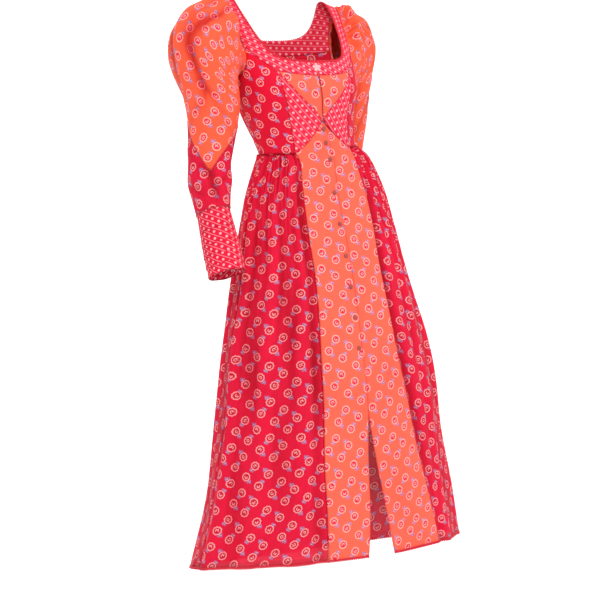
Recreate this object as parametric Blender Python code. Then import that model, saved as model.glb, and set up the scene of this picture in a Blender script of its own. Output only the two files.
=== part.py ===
"""Corset dress in its worn shape, hollow, built from the pieces that are cut and sewn.

Sizes are in metres. +Z is up, the front faces -Y and the dress's own left is +X. The origin is
the middle of the line over the shoulders. Every panel is laid on one form: a stack of level
ovals, each given by a row of FORM. A place on the form is an angle (0 at the front, 90 at the
dress's left, 180 at the back) and a height.
"""

import math

import bpy
import numpy as np

WALL = 0.0020
TRIM_WALL = 0.0010
SEAM_GAP = 0.00042
ARMHOLE_EASE = 0.00012
LAID_ON_GAP = 0.0004
WAIST = -0.330
TRIM_WIDTH = 0.006
TRIM_PAST_EDGE = 0.002

# Rows along the princess seam, columns along each length of seam, and rows down the skirt.
BODICE_ROWS = 7
INSET_COLUMNS = 6
FRONT_YOKE_COLUMNS = 5
BACK_YOKE_COLUMNS = 6
ARMHOLE_COLUMNS = 9
SIDE_GATHERS = 8
BACK_GATHERS = 14
COLUMNS_PER_GATHER = 4
CUFF_COLUMNS = 18

# Gathers at the waist: depth of each, and how far down they run out.
GATHER_DEPTH = 0.0019
GATHER_END = -0.56

# The right front closes over the left, which steps in under it by the wall and a clearance.
LAP = 0.010
LAP_STEP_IN = WALL + 0.0006
LAP_STEP_FULL = 0.014
LAP_STEP_END = 0.034

# Columns: height, centre x, centre y, half width, depth to front, depth to back, side tilt.
FORM = np.array([
    (0.000, 0.000, 0.000, 0.168, 0.000, 0.000, -0.035),
    (-0.004, 0.000, -0.001, 0.168, 0.018, 0.017, -0.035),
    (-0.012, 0.001, -0.003, 0.168, 0.031, 0.029, -0.035),
    (-0.036, 0.003, -0.010, 0.167, 0.053, 0.051, -0.030),
    (-0.070, 0.006, -0.020, 0.163, 0.075, 0.075, -0.020),
    (-0.100, 0.010, -0.028, 0.156, 0.092, 0.090, -0.010),
    (-0.136, 0.015, -0.036, 0.148, 0.107, 0.101, 0.000),
    (-0.175, 0.018, -0.043, 0.141, 0.116, 0.104, 0.010),
    (-0.215, 0.021, -0.049, 0.135, 0.118, 0.100, 0.030),
    (-0.255, 0.026, -0.057, 0.126, 0.106, 0.094, 0.050),
    (-0.295, 0.034, -0.067, 0.117, 0.090, 0.088, 0.070),
    (-0.330, 0.041, -0.075, 0.112, 0.081, 0.084, 0.085),
    (-0.350, 0.049, -0.078, 0.127, 0.0785, 0.089, 0.085),
    (-0.380, 0.0505, -0.083, 0.1435, 0.078, 0.098, 0.082),
    (-0.433, 0.0525, -0.089, 0.165, 0.082, 0.112, 0.078),
    (-0.495, 0.054, -0.093, 0.1805, 0.098, 0.122, 0.072),
    (-0.580, 0.058, -0.097, 0.1985, 0.117, 0.132, 0.066),
    (-0.670, 0.0625, -0.103, 0.22, 0.131, 0.141, 0.060),
    (-0.760, 0.0675, -0.109, 0.241, 0.138, 0.151, 0.056),
    (-0.860, 0.0715, -0.115, 0.2585, 0.145, 0.158, 0.052),
    (-0.980, 0.07, -0.119, 0.2765, 0.150, 0.165, 0.049),
    (-1.100, 0.071, -0.122, 0.3, 0.153, 0.171, 0.047),
    (-1.260, 0.064, -0.124, 0.342, 0.156, 0.176, 0.045),
])
BUST_ANGLE = 37.0
BUST_SPREAD = 25.0
BUST_HEIGHT = -0.190
BUST_REACH = 0.045
BUST_FULLNESS = 0.012
SHOULDER_START = 0.118
SHOULDER_DROP = 0.25
SHOULDER_DEPTH = 0.10
RIDGE_ROWS = 3.2

# Seam lines on one side of the dress. Columns: angle in degrees, height.
NECK_FRONT = [(0, -0.141), (16.5, -0.139), (27.0, -0.135), (34.3, -0.124), (39.3, -0.097),
              (41.3, -0.065), (43.2, -0.035), (43.9, -0.012), (44.2, 0.0)]
NECK_BACK = [(44.2, 0.0), (43.7, -0.014), (42.6, -0.035), (39.3, -0.060), (32.5, -0.078),
             (20.5, -0.087), (0, -0.090)]
YOKE_INSET = [(0, -0.170), (16.0, -0.1685), (35.2, -0.1615)]
YOKE_SIDE = [(35.9, -0.1600), (46.0, -0.142), (52.5, -0.127), (58.4, -0.110)]
YOKE_BACK = [(63.0, -0.110), (40.0, -0.117), (20.0, -0.1215), (0, -0.123)]
ARMHOLE_FRONT_TOP = [(66.4, 0.0), (63.0, -0.015), (59.5, -0.040), (57.3, -0.065),
                     (57.2, -0.087), (58.4, -0.110)]
ARMHOLE_FRONT_LOW = [(58.4, -0.110), (60.0, -0.130), (66.0, -0.152), (76.0, -0.168),
                     (90.0, -0.175)]
ARMHOLE_BACK_TOP = [(66.4, 0.0), (64.0, -0.015), (62.0, -0.040), (61.0, -0.065),
                    (61.5, -0.087), (63.0, -0.110)]
ARMHOLE_BACK_LOW = [(63.0, -0.110), (66.0, -0.133), (71.0, -0.153), (79.0, -0.168),
                    (90.0, -0.175)]
INSET_EDGE = [(35.2, -0.1615), (26.4, -0.193), (19.9, -0.214), (12.0, -0.234), (4.0, -0.2535),
              (1.2, -0.266)]
PRINCESS = [(35.9, -0.1600), (34.4, -0.192), (33.7, -0.216), (33.8, -0.241), (34.8, -0.275),
            (35.7, -0.300), (37.5, WAIST)]
PEAK = [(1.2, -0.266), (6.0, -0.281), (12.2, -0.294), (17.0, -0.304), (27.0, -0.318),
        (37.5, WAIST)]
PEAK_SHARES = (0, 0.24, 0.44, 0.63, 0.82, 1)

# Rows down the skirt, the last of them the hem. Columns: height at the centre front, height at
# the seams, angle of the front seam on the right and on the left, x of the right front edge and
# of the left front edge.
SKIRT_ROWS = [
    (-0.2668, WAIST, 37.5, 37.5, 0.0004, 0.0026),
    (-0.297, -0.350, 31.8, 33.0, LAP, -LAP),
    (-0.335, -0.380, 28.7, 31.4, LAP, -LAP),
    (-0.390, -0.430, 25.6, 31.6, LAP, -LAP),
    (-0.460, -0.495, 24.3, 29.7, LAP, -LAP),
    (-0.580, -0.600, 22.2, 26.3, LAP, -LAP),
    (-0.750, -0.760, 21.4, 24.9, LAP, -LAP),
    (-0.970, -0.980, 20.3, 32.2, 0.008, 0.025),
    (None, None, 16.1, 41.2, 0.006, 0.072),
]

# Broad folds of the skirt. Columns: angle, half spread in degrees, depth (out is positive),
# height where it starts, height where it is at its fullest.
SKIRT_FOLDS = [
    (-31, 6, 0.005, -0.36, -0.62), (-41, 5, -0.006, -0.36, -0.58), (-54, 7, 0.006, -0.36, -0.66),
    (-67, 6, -0.007, -0.38, -0.60), (-81, 7, 0.007, -0.38, -0.75), (-98, 8, -0.007, -0.40, -0.70),
    (-116, 8, 0.007, -0.38, -0.72), (-136, 8, -0.007, -0.38, -0.66), (-156, 9, 0.008, -0.36, -0.70),
    (178, 9, -0.008, -0.36, -0.66), (154, 9, 0.008, -0.38, -0.74), (132, 8, -0.007, -0.36, -0.68),
    (111, 8, 0.007, -0.38, -0.70), (93, 7, -0.006, -0.40, -0.66), (76, 7, 0.007, -0.38, -0.72),
    (61, 6, -0.006, -0.38, -0.64), (49, 5, 0.005, -0.36, -0.60),
]
FOLD_KEPT_AT_HEM = 0.55

# Sleeves as rings. Columns: outer point (distance out, height), inner point (distance out,
# height), y of the middle, half depth front to back, forward lean of the ring in degrees.
RIGHT_SLEEVE = np.array([
    (0.1650, 0.0050, 0.1325, -0.1840, -0.046, 0.070, 0),
    (0.1970, -0.0170, 0.1370, -0.1900, -0.047, 0.077, 2),
    (0.2340, -0.0350, 0.1390, -0.1950, -0.047, 0.081, 4),
    (0.2610, -0.0700, 0.1400, -0.2020, -0.048, 0.082, 6),
    (0.2700, -0.1090, 0.1400, -0.2100, -0.050, 0.079, 8),
    (0.2630, -0.1540, 0.1390, -0.2210, -0.056, 0.072, 10),
    (0.2510, -0.2000, 0.1400, -0.2410, -0.068, 0.063, 10),
    (0.2450, -0.2450, 0.1430, -0.2690, -0.076, 0.057, 10),
    (0.2450, -0.2900, 0.1485, -0.3050, -0.082, 0.054, 10),
    (0.2480, -0.3250, 0.1545, -0.3320, -0.084, 0.050, 9),
    (0.2480, -0.3600, 0.1600, -0.3620, -0.085, 0.0475, 9),
    (0.2500, -0.3960, 0.1595, -0.3940, -0.088, 0.049, 10),
    (0.2435, -0.4280, 0.1655, -0.4240, -0.094, 0.045, 14),
    (0.2375, -0.4590, 0.1700, -0.4550, -0.101, 0.042, 19),
])
LEFT_SLEEVE = np.array([
    (0.1640, -0.0100, 0.1660, -0.1860, -0.019, 0.069, 0),
    (0.1910, -0.0270, 0.1690, -0.1920, -0.007, 0.071, 0),
    (0.2255, -0.0400, 0.1680, -0.1970, 0.005, 0.071, -1),
    (0.2495, -0.0720, 0.1640, -0.2040, 0.015, 0.070, -2),
    (0.2585, -0.1080, 0.1590, -0.2130, 0.024, 0.067, -3),
    (0.2590, -0.1550, 0.1540, -0.2260, 0.030, 0.063, -5),
    (0.2565, -0.2000, 0.1490, -0.2460, 0.034, 0.059, -6),
    (0.2540, -0.2450, 0.1475, -0.2720, 0.039, 0.056, -7),
    (0.2505, -0.2900, 0.1470, -0.3060, 0.044, 0.053, -8),
    (0.2475, -0.3250, 0.1480, -0.3320, 0.048, 0.050, -8),
    (0.2460, -0.3600, 0.1510, -0.3620, 0.052, 0.0475, -8),
    (0.2480, -0.3960, 0.1500, -0.3940, 0.058, 0.048, -8),
    (0.2480, -0.4280, 0.1580, -0.4240, 0.062, 0.045, -8),
    (0.2490, -0.4590, 0.1640, -0.4550, 0.066, 0.042, -8),
])
# How far along the rings of a sleeve its seams and rows lie.
UPPER_RINGS = (0, 1, 2, 3, 4, 5, 6)
ELBOW_SEAM = 7.35
POINT_ANGLE = 63.0
POINT_SPREAD = 90.0
POINT_DROP = 3.2
HEAD_GATHER_DEPTH = 0.0030
# How the gathers of the sleeve head grow with the distance down it, and their share at each ring.
HEAD_TURN = 0.003
HEAD_RISE = 0.0055
HEAD_BLEND = 0.16
HEAD_RINGS = (-1, 0, 1.0, 4.0)
HEAD_SHARES = (0, 0.8, 1, 0)
HEAD_SPAN = 1.6
HEAD_OFFSET = 0.35
# Shares of the way from the last whole ring to the elbow seam, and from there to the cuff.
UPPER_SHARES = (0.35, 0.68, 1.0)
LOWER_SHARES = (0, 0.25, 0.5, 0.75, 1.0)
# Long folds of a sleeve. Columns: angle round it, half spread, depth, first and last ring.
SLEEVE_FOLDS = [(41, 9, -0.0065, 0.8, 7.0), (73, 11, 0.0035, 1.0, 6.0), (108, 9, -0.0035, 1.5, 7.5),
                (345, 10, -0.0045, 1.0, 6.5), (312, 10, 0.0030, 1.0, 6.0), (70, 12, -0.0050, 10.0, 13.0),
                (190, 12, -0.0040, 8.5, 11.5), (262, 10, -0.0035, 2.0, 7.5)]
# Fullness of each upper sleeve at the front, towards the body. The same columns.
RIGHT_FULLNESS = (140, 40, 0.0105, 0.3, 8.0)
LEFT_FULLNESS = (140, 40, 0.0030, 0.3, 8.0)

# Cuff: the five tucks from the top, then its slant away from straight down for each side.
TUCK_LENGTHS = (0.042, 0.031, 0.0245, 0.022, 0.0205)
TUCK_DEPTH = 0.0013
TUCK_STEP = 0.0013
CUFF_WIDENS = 0.0006
RIGHT_CUFF_RUN = (-0.004, -0.057, -0.135)
LEFT_CUFF_RUN = (0.000, 0.017, -0.139)

# Heights of the covered buttons down the centre front.
BUTTON_HEIGHTS = (-0.283, -0.313, -0.348, -0.419, -0.485, -0.552, -0.617, -0.681, -0.746)
BUTTON_RADIUS = 0.0055
BUTTON_DOME = 0.0038
BUTTON_SIDES = 10
# Profiles of the buttons. Columns: share of the height, share of the radius.
BUTTON_PROFILE = ((0.0, 1.0), (0.45, 1.0), (0.80, 0.88), (1.0, 0.45))
FLOWER_HEIGHT = -0.154
FLOWER_RADIUS = 0.0105
FLOWER_THICKNESS = 0.0040
FLOWER_PETALS = 5
FLOWER_SIDES = 25
FLOWER_NOTCH = 0.16
FLOWER_PROFILE = ((0, 0.94), (0.2, 1.0), (0.65, 1.0), (0.85, 0.86), (0.75, 0.42), (1.0, 0.25))

# Material: colour, roughness, metallic.
MATERIALS = {
    "orange_rose_print": ((1.0, 0.135, 0.075), 0.75, 0.0),
    "red_rose_print": ((0.66, 0.012, 0.038), 0.75, 0.0),
    "dot_print": ((0.80, 0.028, 0.075), 0.75, 0.0),
    "picot_trim": ((0.62, 0.006, 0.030), 0.70, 0.0),
    "covered_button": ((0.38, 0.050, 0.035), 0.60, 0.0),
    "pale_resin": ((0.80, 0.55, 0.53), 0.25, 0.0),
}


def clear_scene():
    for item in list(bpy.data.objects):
        bpy.data.objects.remove(item)


def unit(vectors):
    length = np.linalg.norm(vectors, axis=-1, keepdims=True)
    return vectors / np.maximum(length, 1e-12)


def eased(value):
    value = np.clip(value, 0.0, 1.0)
    return value * value * (3 - 2 * value)


def spline(table, place):
    """Smooth curve through the rows of a table, at fractional row numbers."""
    last = len(table) - 1
    place = np.clip(np.asarray(place, float), 0, last)
    row = np.minimum(place.astype(int), last - 1)
    part = (place - row)[..., None]
    here, after = table[row], table[row + 1]
    before = np.where((row == 0)[..., None], 2 * here - after, table[np.maximum(row - 1, 0)])
    beyond = np.where((row == last - 1)[..., None], 2 * after - here,
                      table[np.minimum(row + 2, last)])
    bend = 2 * before - 5 * here + 4 * after - beyond + part * (3 * (here - after) + beyond - before)
    return here + 0.5 * part * (after - before + part * bend)


FINE_PLACES = np.linspace(0, len(FORM) - 1, 3000)
FINE_HEIGHTS = spline(FORM, FINE_PLACES)[:, 0]


def form_row(height):
    return np.interp(-np.asarray(height, float), -FINE_HEIGHTS, FINE_PLACES)


def form_at(angle, place):
    """Point of the form at an angle in radians and a fractional row of FORM."""
    z, middle_x, middle_y, half, front, back, tilt = np.moveaxis(spline(FORM, place), -1, 0)
    depth = np.where(np.cos(angle) >= 0, front, back)
    full = 0.0
    for side in (-1, 1):
        off = (angle - side * math.radians(BUST_ANGLE)) / math.radians(BUST_SPREAD)
        full = full + BUST_FULLNESS * np.exp(-off ** 2 - ((z - BUST_HEIGHT) / BUST_REACH) ** 2)
    x = (half + full) * np.sin(angle)
    y = -(depth + full) * np.cos(angle)
    drop = SHOULDER_DROP * np.maximum(0, np.abs(x) - SHOULDER_START)
    drop = drop * np.clip(1 + z / SHOULDER_DEPTH, 0, 1)
    return np.stack([x + middle_x, y + middle_y, z + tilt * x - drop], -1)


def form(angle, height):
    return form_at(angle, form_row(height))


def level_normal(angle, height):
    """Outward direction in the plane of the oval at that height."""
    _, _, _, half, front, back, tilt = np.moveaxis(spline(FORM, form_row(height)), -1, 0)
    depth = np.where(np.cos(angle) >= 0, front, back) + 0.01
    x = depth * np.sin(angle)
    return unit(np.stack([x, -half * np.cos(angle), tilt * x], -1))


def bodice_normal(angle, height):
    """Outward direction of the form, upright on the shoulder line and level at the waist."""
    place = form_row(height)
    step = 1e-3
    across = form_at(angle + step, place) - form_at(angle - step, place)
    down = form_at(angle, place + step) - form_at(angle, place - step)
    normal = unit(np.cross(down, across))
    near_ridge = (1 - eased(place / RIDGE_ROWS))[..., None]
    normal = unit(normal * (1 - near_ridge) + np.array([0, 0, 1.0]) * near_ridge)
    near_waist = eased((WAIST + 0.045 - height) / 0.045)[..., None]
    return unit(normal * (1 - near_waist) + level_normal(angle, height) * near_waist)


def hem_height(angle):
    return (-1.211 + 0.0275 * np.cos(angle) - 0.0105 * np.sin(angle)
            - 0.0065 * np.cos(2 * angle))


def along(seam, shares):
    """Points at given shares of the length of a seam table, as (angle in radians, height)."""
    table = np.array([(math.radians(angle), height) for angle, height in seam])
    fine = spline(table, np.linspace(0, len(table) - 1, 400))
    reach = np.stack([fine[:, 0] * 0.14, fine[:, 1]], -1)
    length = np.concatenate([[0], np.cumsum(np.linalg.norm(np.diff(reach, axis=0), axis=1))])
    shares = np.asarray(shares, float) * length[-1]
    return np.stack([np.interp(shares, length, fine[:, i]) for i in (0, 1)], -1)


def evenly(seam, count):
    return along(seam, np.linspace(0, 1, count + 1))


def joined(*lines):
    """Lines end to end, each starting where the one before ends."""
    return np.concatenate([lines[0]] + [line[1:] for line in lines[1:]])


def turned(line, side=1, back=False):
    """The same line on the other side of the dress, or on its back."""
    angle = math.pi - line[:, 0] if back else line[:, 0]
    return np.stack([side * angle, line[:, 1]], -1)


def patch(top, bottom, first, last):
    """Rows of (angle, height) filling four edges. The edges meet at the corners."""
    rows, columns = len(first), len(top)
    down = np.linspace(0, 1, rows)[:, None, None]
    over = np.linspace(0, 1, columns)[None, :, None]
    ruled = (1 - down) * top[None] + down * bottom[None]
    crossed = (1 - over) * first[:, None] + over * last[:, None]
    corners = ((1 - down) * ((1 - over) * top[0] + over * top[-1])
               + down * ((1 - over) * bottom[0] + over * bottom[-1]))
    return ruled + crossed - corners


def edge_pulled_in(edge, inside, normals, closed=False):
    """Moves the points of an edge half a seam gap towards the piece they belong to."""
    if closed:
        run = np.roll(edge, -1, axis=0) - np.roll(edge, 1, axis=0)
    else:
        run = np.gradient(edge, axis=0)
    run = unit(run)
    away = inside - edge
    away = away - (away * run).sum(-1, keepdims=True) * run
    away = away - (away * normals).sum(-1, keepdims=True) * normals
    return 0.5 * SEAM_GAP * unit(away)


def with_seam_gaps(points, normals, closed=False):
    """A grid of points with each outer edge drawn in for its share of the seam."""
    moved = points.copy()
    moved[0] += edge_pulled_in(points[0], points[1], normals[0], closed)
    moved[-1] += edge_pulled_in(points[-1], points[-2], normals[-1], closed)
    if not closed:
        moved[:, 0] += edge_pulled_in(points[:, 0], points[:, 1], normals[:, 0])
        moved[:, -1] += edge_pulled_in(points[:, -1], points[:, -2], normals[:, -1])
    return moved


def grid_faces(rows, columns, closed, start=0, flip=False):
    faces = []
    for row in range(rows - 1):
        for column in range(columns if closed else columns - 1):
            beside = (column + 1) % columns
            a, b = row * columns + column, row * columns + beside
            c, d = a + columns, b + columns
            face = (a, b, d, c) if not flip else (a, c, d, b)
            faces.append(tuple(start + index for index in face))
    return faces


def add_object(name, points, faces, material):
    """One mesh object, its faces turned outwards."""
    points = np.asarray(points, float)
    volume = 0.0
    for face in faces:
        for i in range(1, len(face) - 1):
            a, b, c = points[face[0]], points[face[i]], points[face[i + 1]]
            volume += np.dot(a, np.cross(b, c))
    if volume < 0:
        faces = [face[:1] + face[:0:-1] for face in faces]
    mesh = bpy.data.meshes.new(name)
    mesh.from_pydata(points.tolist(), [], faces)
    mesh.validate()
    mesh.materials.append(material)
    mesh.shade_smooth()
    mesh.set_sharp_from_angle(angle=math.radians(50))
    item = bpy.data.objects.new(name, mesh)
    bpy.context.scene.collection.objects.link(item)
    return item


def add_sheet(name, outer, inner, material, closed=False):
    """Solid between two grids of points, shut along its open edges."""
    rows, columns = outer.shape[:2]
    size = rows * columns
    faces = grid_faces(rows, columns, closed)
    faces += grid_faces(rows, columns, closed, size, flip=True)
    lines = [[column for column in range(columns)] + ([0] if closed else [])]
    lines.append([(rows - 1) * columns + index for index in reversed(lines[0])])
    if not closed:
        lines.append([row * columns for row in reversed(range(rows))])
        lines.append([row * columns + columns - 1 for row in range(rows)])
    for line in lines:
        for a, b in zip(line, line[1:]):
            faces.append((b, a, a + size, b + size))
    points = np.concatenate([outer.reshape(-1, 3), inner.reshape(-1, 3)])
    return add_object(name, points, faces, material)


def add_wall(name, middle, normals, material, closed=False, wall=WALL):
    half = 0.5 * wall * normals
    return add_sheet(name, middle + half, middle - half, material, closed)


def add_bodice_panel(name, places, material):
    middle = form(places[..., 0], places[..., 1])
    normals = bodice_normal(places[..., 0], places[..., 1])
    add_wall(name, with_seam_gaps(middle, normals), normals, material)
    return middle, normals


def add_bodice(materials):
    """Neck bands, insets, bust bands, side fronts and back. Returns the neck edge."""
    rows = np.linspace(0, 1, BODICE_ROWS + 1)
    inset_top = evenly(YOKE_INSET, INSET_COLUMNS)
    side_top = evenly(YOKE_SIDE, FRONT_YOKE_COLUMNS)
    inset_edge = along(INSET_EDGE, rows)
    princess = along(PRINCESS, rows)
    peak = along(PEAK, PEAK_SHARES)
    side_seam = np.stack([np.full(len(rows), math.pi / 2),
                          ARMHOLE_FRONT_LOW[-1][1] + rows * (WAIST - ARMHOLE_FRONT_LOW[-1][1])], -1)
    front_top = evenly(ARMHOLE_FRONT_TOP, ARMHOLE_COLUMNS)
    front_low = evenly(ARMHOLE_FRONT_LOW, ARMHOLE_COLUMNS)
    back_top = evenly(ARMHOLE_BACK_TOP, ARMHOLE_COLUMNS)
    back_low = evenly(ARMHOLE_BACK_LOW, ARMHOLE_COLUMNS)
    yoke_back = evenly(YOKE_BACK, BACK_YOKE_COLUMNS)
    centre_inset = np.stack([np.zeros(len(rows)),
                             YOKE_INSET[0][1] + rows * (INSET_EDGE[-1][1] - YOKE_INSET[0][1])], -1)
    side_front_top = joined(side_top, front_low)
    side_front_waist = np.stack([np.linspace(princess[-1][0], math.pi / 2, len(side_front_top)),
                                 np.full(len(side_front_top), WAIST)], -1)

    outer = np.concatenate([inset_top, side_top, front_top[::-1][1:]])
    shares = np.concatenate([np.linspace(0, 0.42, len(inset_top)),
                             0.44 + np.linspace(0, 0.16, len(side_top)),
                             np.linspace(0.60, 1, len(front_top))[1:]])
    neck = along(NECK_FRONT, shares)
    necks = {}
    for side, word in ((-1, "right"), (1, "left")):
        lines = [turned(neck, side), turned((neck + outer) / 2, side), turned(outer, side)]
        necks[word] = add_bodice_panel("neck_band_front_" + word, np.stack(lines),
                                       materials["dot_print"])
        places = patch(inset_top, np.linspace(centre_inset[-1], inset_edge[-1], len(inset_top)),
                       centre_inset, inset_edge)
        places[..., 0] *= side
        add_bodice_panel("front_inset_" + word, places, materials["orange_rose_print"])
        places = patch(np.linspace(inset_edge[0], princess[0], len(peak)), peak, inset_edge, princess)
        places[..., 0] *= side
        add_bodice_panel("bust_band_" + word, places, materials["dot_print"])
        places = patch(side_front_top, side_front_waist, princess, side_seam)
        places[..., 0] *= side
        add_bodice_panel("side_front_" + word, places, materials["red_rose_print"])

    neck_back = along(NECK_BACK, np.concatenate([np.linspace(0, 0.45, len(back_top)),
                                                 np.linspace(0.45, 1, len(yoke_back))[1:]]))
    outer_back = joined(back_top, yoke_back)
    half_lines = [turned(line, 1, back=True) for line in
                  (neck_back, (neck_back + outer_back) / 2, outer_back)]
    lines = []
    for line in half_lines:
        other = line[::-1][1:].copy()
        other[:, 0] = 2 * math.pi - other[:, 0]
        lines.append(np.concatenate([line, other]))
    necks["back"] = add_bodice_panel("neck_band_back", np.stack(lines), materials["dot_print"])

    top = turned(joined(back_low[::-1], yoke_back), 1, back=True)
    other = top[::-1][1:].copy()
    other[:, 0] = 2 * math.pi - other[:, 0]
    top = np.concatenate([top, other])
    waist = np.stack([np.linspace(math.pi / 2, 1.5 * math.pi, len(top)), np.full(len(top), WAIST)], -1)
    right_seam = side_seam.copy()
    right_seam[:, 0] = 1.5 * math.pi
    add_bodice_panel("bodice_back", patch(top, waist, side_seam, right_seam),
                     materials["red_rose_print"])
    armhole = np.concatenate([front_top, front_low[1:], turned(back_low[::-1], 1, back=True)[1:],
                              turned(back_top[::-1], 1, back=True)[1:-1]])
    return necks, armhole


def fold_depth(angle, height):
    """How far the broad folds move the skirt out or in."""
    total = np.zeros(np.broadcast(angle, height).shape)
    for middle, spread, depth, start, fullest in SKIRT_FOLDS:
        off = np.degrees(angle) - middle
        off = (off + 180) % 360 - 180
        grown = eased((start - height) / (start - fullest))
        kept = 1 - (1 - FOLD_KEPT_AT_HEM) * eased((fullest - height) / (fullest + 1.2))
        total = total + depth * grown * kept * np.exp(-(off / spread) ** 2)
    return total


def skirt_points(angle, height, move):
    normals = level_normal(angle, height)
    return form(angle, height) + move[..., None] * normals, normals


def skirt_row_heights(angle, column):
    """Heights of the skirt's rows at an angle, from a column of SKIRT_ROWS."""
    heights = [row[column] for row in SKIRT_ROWS[:-1]]
    return np.array(heights + [float(hem_height(angle))])


def add_gathered_panel(name, angles_of_row, gathers, material):
    """A skirt panel gathered into the waist. angles_of_row gives the two seams on each row."""
    columns = gathers * COLUMNS_PER_GATHER
    over = np.linspace(0, 1, columns + 1)
    first, last = np.array(angles_of_row).T
    angle = first[:, None] + (last - first)[:, None] * over
    height = np.array([row[1] or 0.0 for row in SKIRT_ROWS])[:, None] + 0 * over
    height[-1] = hem_height(angle[-1])
    number = np.arange(columns + 1)
    wave = np.sin(2 * math.pi * number / COLUMNS_PER_GATHER)
    uneven = 0.78 + 0.22 * np.sin(1.9 * (number // COLUMNS_PER_GATHER))
    fade = eased((height - GATHER_END) / (WAIST - GATHER_END))
    move = GATHER_DEPTH * wave * uneven * fade + fold_depth(angle, height)
    middle, normals = skirt_points(angle, height, move)
    middle = with_seam_gaps(middle, normals)
    add_wall(name, middle, normals, material)
    return middle[-2:], normals[-1]


def add_front_panel(name, side, material):
    """A front skirt panel, from the peak on the bodice to the hem. The left one steps in."""
    peak = along(PEAK, PEAK_SHARES)
    seam = [math.radians(row[2] if side < 0 else row[3]) for row in SKIRT_ROWS]
    shares = np.array(PEAK_SHARES)
    angles, heights = [], []
    for number, row in enumerate(SKIRT_ROWS):
        edge_x = row[4] if side < 0 else row[5]
        last_row = number == len(SKIRT_ROWS) - 1
        level = float(hem_height(0.0)) if last_row else row[0]
        half = float(spline(FORM, form_row(level))[3])
        edge = math.asin(edge_x / half)
        if number == 0:
            angle, height = -peak[:, 0] if side < 0 else peak[:, 0], peak[:, 1]
        elif side < 0:
            angle = -shares * seam[number]
        else:
            angle = edge + shares * (seam[number] - edge)
        if 0 < number < len(SKIRT_ROWS) - 1:
            past_lap = np.clip((shares - PEAK_SHARES[1]) / (1 - PEAK_SHARES[1]), 0, 1)
            height = row[0] + past_lap * (row[1] - row[0])
        elif last_row:
            height = hem_height(angle)
        if side < 0:
            angle = np.concatenate([[edge], angle])
            edge_height = hem_height(edge) if last_row else level
            height = np.concatenate([[edge_height], height])
        angles.append(angle)
        heights.append(height)
    angle, height = np.array(angles), np.array(heights)
    move = fold_depth(angle, height)
    if side > 0:
        x = spline(FORM, form_row(height))[..., 3] * np.sin(angle)
        move = move - LAP_STEP_IN * np.clip((LAP_STEP_END - x) / (LAP_STEP_END - LAP_STEP_FULL), 0, 1)
    middle, normals = skirt_points(angle, height, move)
    middle = with_seam_gaps(middle, normals)
    add_wall(name, middle, normals, material)
    return middle, normals


def add_skirt(materials):
    """All skirt panels, and the line of the hem round them for the trim."""
    right, right_normals = add_front_panel("skirt_front_right", -1, materials["orange_rose_print"])
    left, left_normals = add_front_panel("skirt_front_left", 1, materials["orange_rose_print"])
    red = materials["red_rose_print"]
    right_seams = [(-math.radians(row[2]), -math.pi / 2) for row in SKIRT_ROWS]
    left_seams = [(math.radians(row[3]), math.pi / 2) for row in SKIRT_ROWS]
    back_seams = [(-math.pi / 2, -1.5 * math.pi)] * len(SKIRT_ROWS)
    pieces = [
        (right[-2:], right_normals[-1]),
        add_gathered_panel("skirt_side_right", right_seams, SIDE_GATHERS, red),
        add_gathered_panel("skirt_back", back_seams, BACK_GATHERS, red),
        tuple(np.flip(a, axis=-2) for a in
              add_gathered_panel("skirt_side_left", left_seams, SIDE_GATHERS, red)),
        tuple(np.flip(a, axis=-2) for a in (left[-2:], left_normals[-1])),
    ]
    hem, above, out = [], [], []
    for number, (edge, normals) in enumerate(pieces):
        start = 0 if number == 0 else 1
        hem.append(edge[1][start:])
        above.append(edge[0][start:])
        out.append(normals[start:])
    hem, above, out = (np.concatenate(lines) for lines in (hem, above, out))
    up = unit(above - hem)
    lift = (0.5 * WALL + LAID_ON_GAP + 0.5 * TRIM_WALL) * out
    rows = np.stack([hem + lift + up * (TRIM_WIDTH - TRIM_PAST_EDGE), hem + lift - up * TRIM_PAST_EDGE])
    add_wall("hem_trim", rows, np.stack([out, out]), materials["picot_trim"], wall=TRIM_WALL)
    return right, right_normals


def add_neck_trim(necks, materials):
    """Narrow trim laid on the neck band, along its whole edge."""
    right = tuple(a[:2] for a in necks["right"])
    left = tuple(np.flip(a[:2], axis=1) for a in necks["left"])
    back = tuple(np.flip(a[:2], axis=1) for a in necks["back"])
    edge, inside, out = [], [], []
    for start, (middle, normals) in ((0, right), (1, back), (1, left)):
        edge.append(middle[0][start:])
        inside.append(middle[1][start:])
        out.append(normals[0][start:])
    edge, inside, out = (np.concatenate(lines) for lines in (edge, inside, out))
    away = inside - edge
    run = unit(np.gradient(edge, axis=0))
    away = unit(away - (away * run).sum(-1, keepdims=True) * run)
    lift = (0.5 * WALL + 1.5 * LAID_ON_GAP + 0.5 * TRIM_WALL) * out
    rows = np.stack([edge + lift - away * TRIM_PAST_EDGE,
                     edge + lift + away * (TRIM_WIDTH - TRIM_PAST_EDGE)])
    normals = np.stack([out, out])
    rows[:, 0] += 0.5 * SEAM_GAP * unit(rows[:, 1] - rows[:, 0])
    rows[:, -1] += 0.5 * SEAM_GAP * unit(rows[:, -2] - rows[:, -1])
    add_wall("neck_trim", rows, normals, materials["picot_trim"], wall=TRIM_WALL)


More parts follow.
